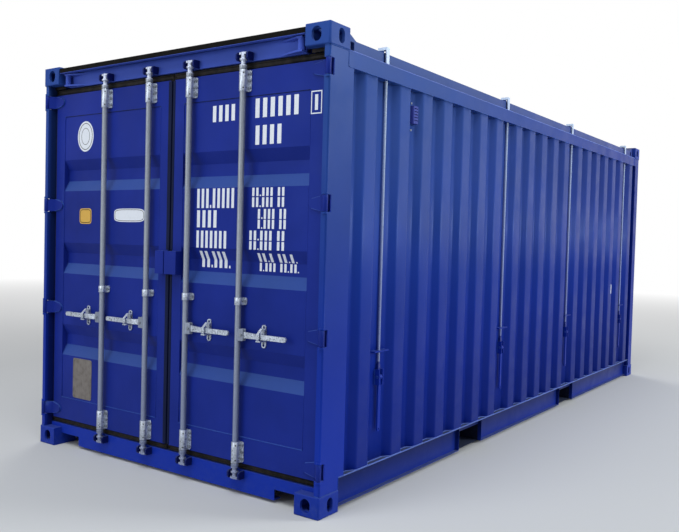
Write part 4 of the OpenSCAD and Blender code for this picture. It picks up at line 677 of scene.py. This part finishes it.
# weld beads in the lighter weld paint, a painted highlight
for side, s in (("right", 1), ("left", -1)):
    m = Mesh()
    weld(m, [(x, s * (y - 0.0010), WALL_Z1 - 0.0008) for x, y in side_line], 0.0030)
    for x in (WALL_X0 + 0.0015, WALL_X1 - 0.0015):
        weld(m, [(x, s * (RECESS_Y - 0.0012), WALL_Z0), (x, s * (RECESS_Y - 0.0012), WALL_Z1)], 0.0032)
    y = s * (FACE_Y - 0.0004)
    for end in (1, -1):
        inner = WALL_X0 if end > 0 else -WALL_X1
        weld(m, [(end * CAST_X, y, RAIL_TOP), (end * CAST_X, y, WALL_Z1), (end * inner, y, WALL_Z1)], 0.0022)
        weld(m, [(end * CAST_X, y, CASTING_H), (end * CAST_X, y, WALL_Z0), (end * inner, y, WALL_Z0)], 0.0022)
        for z, dz in ((CASTING_H, 0.0012), (TOP - CASTING_H, -0.0012)):
            front, face = XE + 0.009, FACE_Y - 0.0002
            corner = [(front - 0.0012, -1.181), (front - 0.0012, FACE_Y + 0.006),
                      (front + 0.006, face), (CAST_X, face)]
            weld(m, [(end * u, s * v, z + dz) for u, v in corner], 0.0028)
    m.piece("welds_" + side, WELD_HIGHLIGHT, "frame", "blue_paint")
    # pale lines along the wall's foot and the rail edges: painted highlight with dust
    m = Mesh()
    weld(m, [(x, s * (y + 0.0012), WALL_Z0 + 0.0014) for x, y in side_line], 0.0044, 0.018, 0.15)
    for y, z, r, step in ((FACE_Y + 0.0014, WALL_Z0 - 0.0008, 0.0046, 0.020),
                          (FACE_Y + 0.0024, RAIL_TOP - 0.0010, 0.0040, 0.045)):
        weld(m, [(CAST_X, s * y, z), (-CAST_X, s * y, z)], r, step, 0.06)
    m.piece("rail_edges_" + side, EDGE, "frame", "blue_paint")

for side, sign in (("right", -1), ("left", 1)):
    m, lines, quiet, edges = Mesh(), Mesh(), Mesh(), Mesh()
    for hz in HINGES:
        arc = [(BLADE_MID_Y - BLADE_END * math.sin(math.radians(a)), BLADE_END * math.cos(math.radians(a)))
               for a in range(20, 161, 20)]
        path = ([(BLADE_EDGE_Y, BLADE_ROOT), (BLADE_TIP_Y, BLADE_END)] + arc
                + [(BLADE_TIP_Y, -BLADE_END), (BLADE_EDGE_Y, -BLADE_ROOT)])
        weld(m, [(DOOR_X - 0.0012, sign * y, hz + z) for y, z in path], 0.0030, 0.009)
        # painted highlight along each blade's top and bottom edges
        for k in (-1, 1):
            line = [(BLADE_X, sign * y, hz + k * z)
                    for y, z in ((BLADE_EDGE_Y, BLADE_ROOT - 0.0008), (1.0850, BLADE_END))]
            weld(edges, line, 0.0019, 0.02, 0.05)
    (y0, y1), (z0, z1) = PANEL_Y, PANEL_Z
    # the panel's foot seam lighter as painted highlight, its head seam darker as painted shade
    for mesh, z in ((m, z0), (lines, z1)):
        ends = [(PANEL_X - 0.0010, sign * y, z) for y in (y0, y1)]
        weld(mesh, ends, 0.0032 if mesh is m else 0.0022)
    for y in PANEL_Y:
        zs = sorted([z0, z1] + TROUGH_BREAKS)
        shift = 0.002 if y == y0 else -0.002
        weld(quiet, [(door_x(0.5, z) - 0.0006, sign * (y + shift), z) for z in zs], 0.0020)
    m.piece("leaf_welds_" + side, WELD_HIGHLIGHT, "door_" + side, "blue_paint")
    lines.piece("leaf_head_seam_" + side, SHADED, "door_" + side, "blue_paint")
    quiet.piece("leaf_side_seams_" + side, DOOR_BLUE, "door_" + side, "blue_paint")
    edges.piece("blade_edges_" + side, BLADE_HIGHLIGHT, "door_" + side, "blue_paint")

    m = Mesh()
    for z in (2.4205, 2.4440, 0.1520, 0.1710):
        m.tube([(GASKET_X, sign * 0.006, z), (GASKET_X, sign * 1.174, z)], 0.0045, 8)
    for y in (1.1605, 1.1700, 0.0065, 0.0145):
        m.tube([(GASKET_X, sign * y, 0.150), (GASKET_X, sign * y, 2.446)], 0.0034, 8)
    m.piece("gasket_lips_" + side, GASKET, "door_" + side, "black_rubber")

# Outer lip of the seal along each leaf's free edge, in two lengths round the lock box
for side, sign, reach in (("right", -1, 0.0245), ("left", 1, 0.0350)):
    m = Mesh()
    for z0, z1 in ((0.186, LOCK_BOX_GAP[0]), (LOCK_BOX_GAP[1], 2.405)):
        section = [(DOOR_X + 0.0140, 0.0040), (DOOR_X - 0.0016, 0.0055), (DOOR_X - 0.0030, 0.0080),
                   (DOOR_X - 0.0022, 0.0120), (DOOR_X - 0.0030, 0.0160),
                   (DOOR_X - 0.0024, reach - 0.0030), (DOOR_X - 0.0002, reach),
                   (DOOR_X - 0.0002, 0.0197), (DOOR_X + 0.0140, 0.0192)]
        m.prism([(x, sign * y) for x, y in section], (0, 0, z0), (1, 0, 0), (0, 1, 0), (0, 0, z1 - z0))
    m.piece("centre_lips_" + side, SHADED, "door_" + side, "black_rubber")

m = Mesh()
for s in (-1, 1):
    lo, hi = sorted((s * 1.060, s * 1.176))
    m.box((SEAL_X, lo, 2.4520), (SEAL_X + 0.0023, hi, 2.4722))
    for z in (2.4575, 2.4665):
        m.tube([(SEAL_X, lo, z), (SEAL_X, hi, z)], 0.0028, 8)
m.piece("header_seals", GASKET, "frame", "black_rubber")

# blue plate under the roof's end strip, in the header's paint with its painted light
m = Mesh()
section = [(-2.9922, 2.5451), (-2.9922, 2.5444), (-3.0250, 2.5444), (-3.0256, 2.5450),
           (-3.0256, 2.5472), (-3.0249, 2.5476), (-3.0249, 2.5451)]
m.prism(section, (0, -1.0505, 0), (1, 0, 0), (0, 0, 1), (0, 2.101, 0))
m.piece("roof_end_lip", HEADER_LIT, "roof", "blue_paint")


VENT_OFF = WIDE_END - WIDE / 2 - PITCH / 2
for side, s in (("right", -1), ("left", 1)):
    m = Mesh()
    x = WALL_MID + s * VENT_OFF
    for z in VENT_SCREWS:
        m.disc((x - 0.012, s * 1.1790, z), (0, s, 0), 0.0080, 0.0042, 12, taper=0.75)
        m.disc((x - 0.012, s * 1.1830, z), (0, s, 0), 0.0038, 0.0014, 6)
    m.piece("vent_screws_" + side, BOLT, "frame", "galvanised_steel")
    m = Mesh()
    a, b = VENT_HALF
    edge = [(-a, -b), (a, -b), (a, b), (-a, b), (-a, -b)]
    # weld lines round the vent and the tie fittings, lighter as painted highlight
    weld(m, [(x + u, s * FITTING_Y, VENT_Z + v) for u, v in edge], 0.0026)
    for tx in TIES:
        for k in (-1, 1):
            for u in (0.0155, 0.0225):
                weld(m, [(tx + k * u, s * 1.1805, TIE_FOOT_Z - TIE_FOOT_HALF),
                         (tx + k * u, s * 1.1805, TIE_FOOT_Z + TIE_FOOT_HALF)], 0.0026)
            m.disc((tx + k * 0.0220, s * 1.198, TIE_FOOT_Z), (k, 0, 0), 0.0088, 0.0034, 14, taper=0.8)
        half = (WIDE - FLAT) / 2 - SLOPE - 0.004
        for z in TIE_GUIDE_EDGES:
            weld(m, [(tx - half, s * FITTING_Y, z), (tx + half, s * FITTING_Y, z)], 0.0018)
    m.piece("fitting_welds_" + side, WELD_HIGHLIGHT, "frame", "blue_paint")


# ---------------------------------------------------------------- bolts
def hex_bolt(mesh, at, axis, r=0.0068, h=0.0055, washer=True):
    """Hexagon head at a chance turn, with the bolt's end on it and a washer under it."""
    a = Vector(axis)
    if washer:
        mesh.disc(at, axis, r * 1.42, 0.0014, 16)
    mesh.disc(Vector(at) + a * 0.0012, axis, r, h, 6, turn=rng.uniform(0, 1), taper=0.93)
    mesh.disc(Vector(at) + a * (h + 0.0010), axis, r * 0.5, 0.0016, 8, taper=0.8)


for side, sign in (("right", -1), ("left", 1)):
    bolts, pins = Mesh(), Mesh()
    for rod in RODS[1::-1]:
        y = sign * rod
        for z in BEARING_Z:
            for dy in (-PLATE_BOLT_Y, PLATE_BOLT_Y):
                for dz in (-PLATE_BOLT_Z, 0.0, PLATE_BOLT_Z):
                    hex_bolt(bolts, (PLATE_X, y + dy, z + dz), (-1, 0, 0))
            for turn in (-48, 48):
                a = math.radians(turn)
                out = Vector((-math.cos(a), math.sin(a), 0))
                for dz in (-0.042, 0.042):
                    pins.disc(Vector((ROD_X, y, z + dz)) + out * 0.0216, out, 0.0042, 0.0010, 12)
        for dy in (-PLATE_BOLT_Y, PLATE_BOLT_Y):
            hex_bolt(bolts, (PLATE_X, y + dy, GUIDE_Z), (-1, 0, 0))
        for dz in (-0.030, -0.0385):
            hex_bolt(bolts, (PLATE_X, y + sign * REST_OFF, HANDLE_Z + dz), (-1, 0, 0), 0.0052, 0.004, False)
    bolts.piece("gear_bolts_" + side, BOLT, "door_" + side, "galvanised_steel")
    pins.piece("bearing_pins_" + side, DARK, "door_" + side, "galvanised_steel")

# The pivot bolt turns with its rod and the hasp lifts with its handle
for i, y in enumerate(RODS):
    out = math.copysign(1, y)
    rod = Mesh()
    at = Vector((ROD_X, y + out * PIVOT_OFF, HANDLE_Z))
    hex_bolt(rod, at + Vector((-0.013, 0, 0)), (-1, 0, 0), 0.0085)
    hex_bolt(rod, at + Vector((0.013, 0, 0)), (1, 0, 0), 0.0080)
    rod.piece("pivot_bolt_%d" % (i + 1), BOLT, "lock_rod_%d" % (i + 1), "galvanised_steel")
    hasp = Mesh()
    c = y + out * REST_OFF
    strap = [(-2.9915, 0.0400), (-2.9955, 0.0400), (-3.0215, 0.0165), (-3.0222, 0.0140),
             (-3.0222, -0.0150), (-3.0265, -0.0170), (-3.0268, 0.0160), (-3.0258, 0.0190),
             (-2.9965, 0.0460), (-2.9915, 0.0470)]
    hasp.prism([(x, HANDLE_Z + z) for x, z in strap], (0, c - 0.0085, 0), (1, 0, 0), (0, 0, 1), (0, 0.017, 0))
    tag_z = HANDLE_Z - 0.001
    hasp.prism(oval(c, tag_z, 0.0125, 0.0135), (-3.0282, 0, 0), (0, 1, 0), (0, 0, 1), (0.0030, 0, 0))
    hasp.disc((-3.0280, c, tag_z), (-1, 0, 0), 0.0050, 0.0009, 14, taper=0.7)
    hasp.piece("handle_hasp_%d" % (i + 1), ZINC, "handle_%d" % (i + 1), "galvanised_steel", 0.0008)


# ---------------------------------------------------------------- camera and light
PHOTO_WIDTH, FOCAL_PIXELS, SENSOR = 679.0, 776.74, 36.0


def camera():
    """The camera solved from the photograph."""
    place = Vector((-6.256, -3.584, 1.470))
    ahead = Vector((0.8175, 0.5751, -0.0339)).normalized()
    right = Vector((0.5755, -0.8178, 0.0)).normalized()
    up = right.cross(ahead)
    roll = 0.026128
    c, s = math.cos(roll), math.sin(roll)
    r2, u2 = right * c + up * s, up * c - right * s
    rot = Matrix((r2, u2, -ahead)).transposed().to_4x4()
    data = bpy.data.cameras.new("camera")
    data.sensor_width = SENSOR
    data.lens = FOCAL_PIXELS * SENSOR / PHOTO_WIDTH
    data.clip_end = 200.0
    cam = bpy.data.objects.new("camera", data)
    cam.matrix_world = Matrix.Translation(place) @ rot
    bpy.context.scene.collection.objects.link(cam)
    bpy.context.scene.camera = cam


def lamp(name, place, target, size, power, colour=(1, 1, 1)):
    data = bpy.data.lights.new(name, "AREA")
    data.shape, data.size, data.energy, data.color = "DISK", size, power, colour
    obj = bpy.data.objects.new(name, data)
    obj.location = place
    obj.rotation_euler = (Vector(target) - Vector(place)).to_track_quat("-Z", "Y").to_euler()
    bpy.context.scene.collection.objects.link(obj)


def background():
    """Soft light from all sides; the camera, metal and glass see plain white."""
    world = bpy.data.worlds.new("studio")
    world.use_nodes = True
    bpy.context.scene.world = world
    t = world.node_tree
    bg = t.nodes["Background"]
    bg.inputs["Color"].default_value = rgb(0.93, 0.96, 1.0)
    bg.inputs["Strength"].default_value = 0.36
    white = t.nodes.new("ShaderNodeBackground")
    white.inputs["Color"].default_value = rgb(1, 1, 1)
    path = t.nodes.new("ShaderNodeLightPath")
    total = None
    for ray in ("Is Camera Ray", "Is Glossy Ray", "Is Transmission Ray"):
        if total is None:
            total = path.outputs[ray]
            continue
        m = t.nodes.new("ShaderNodeMath")
        m.operation = "MAXIMUM"
        t.links.new(total, m.inputs[0])
        t.links.new(path.outputs[ray], m.inputs[1])
        total = m.outputs[0]
    mix = t.nodes.new("ShaderNodeMixShader")
    t.links.new(total, mix.inputs[0])
    t.links.new(bg.outputs[0], mix.inputs[1])
    t.links.new(white.outputs[0], mix.inputs[2])
    t.links.new(mix.outputs[0], t.nodes["World Output"].inputs[0])


def studio_floor():
    """Pale round floor, which fades to the background's white far off."""
    m = Mesh()
    r, sides = 60.0, 64
    turns = [2 * math.pi * i / sides for i in range(sides)]
    m.add([(r * math.cos(a), r * math.sin(a), -0.0004) for a in turns], [tuple(range(sides))])
    data = bpy.data.meshes.new("studio_floor")
    data.from_pydata(m.verts, [], m.faces)
    obj = bpy.data.objects.new("studio_floor", data)
    bpy.context.scene.collection.objects.link(obj)
    f = Finish("studio_floor", 0.85)
    f.bsdf.inputs["Base Color"].default_value = rgb(0.60, 0.60, 0.60)
    f.bsdf.inputs["Specular IOR Level"].default_value = 0.2
    t = f.tree
    dist = f.node("ShaderNodeVectorMath", {0: f.coord}, operation="LENGTH").outputs["Value"]
    fade = f.span(dist, 4.5, 20.0)
    seen = t.nodes.new("ShaderNodeLightPath").outputs["Is Camera Ray"]
    glow = t.nodes.new("ShaderNodeEmission")
    glow.inputs["Strength"].default_value = 1.0
    mix = f.node("ShaderNodeMixShader", {0: f.calc("MULTIPLY", fade, seen)})
    t.links.new(f.bsdf.outputs[0], mix.inputs[1])
    t.links.new(glow.outputs[0], mix.inputs[2])
    t.links.new(mix.outputs[0], t.nodes["Material Output"].inputs[0])
    data.materials.append(f.mat)


camera()
background()
studio_floor()
DAYLIGHT = (0.93, 0.98, 1.0)
lamp("key", (5.0, -11.0, 5.6), (0.0, -0.5, 1.2), 6.0, 1080.0, DAYLIGHT)
lamp("fill", (-10.5, 2.5, 3.4), (-2.5, 0.0, 1.2), 5.0, 190.0, DAYLIGHT)
lamp("sky", (-6.5, -1.5, 9.0), (-4.2, -0.5, 0.0), 6.0, 470.0, DAYLIGHT)
lamp("back", (8.0, 8.0, 8.0), (0.0, 0.0, 1.2), 7.0, 450.0)
bpy.context.scene.view_settings.view_transform = "Standard"
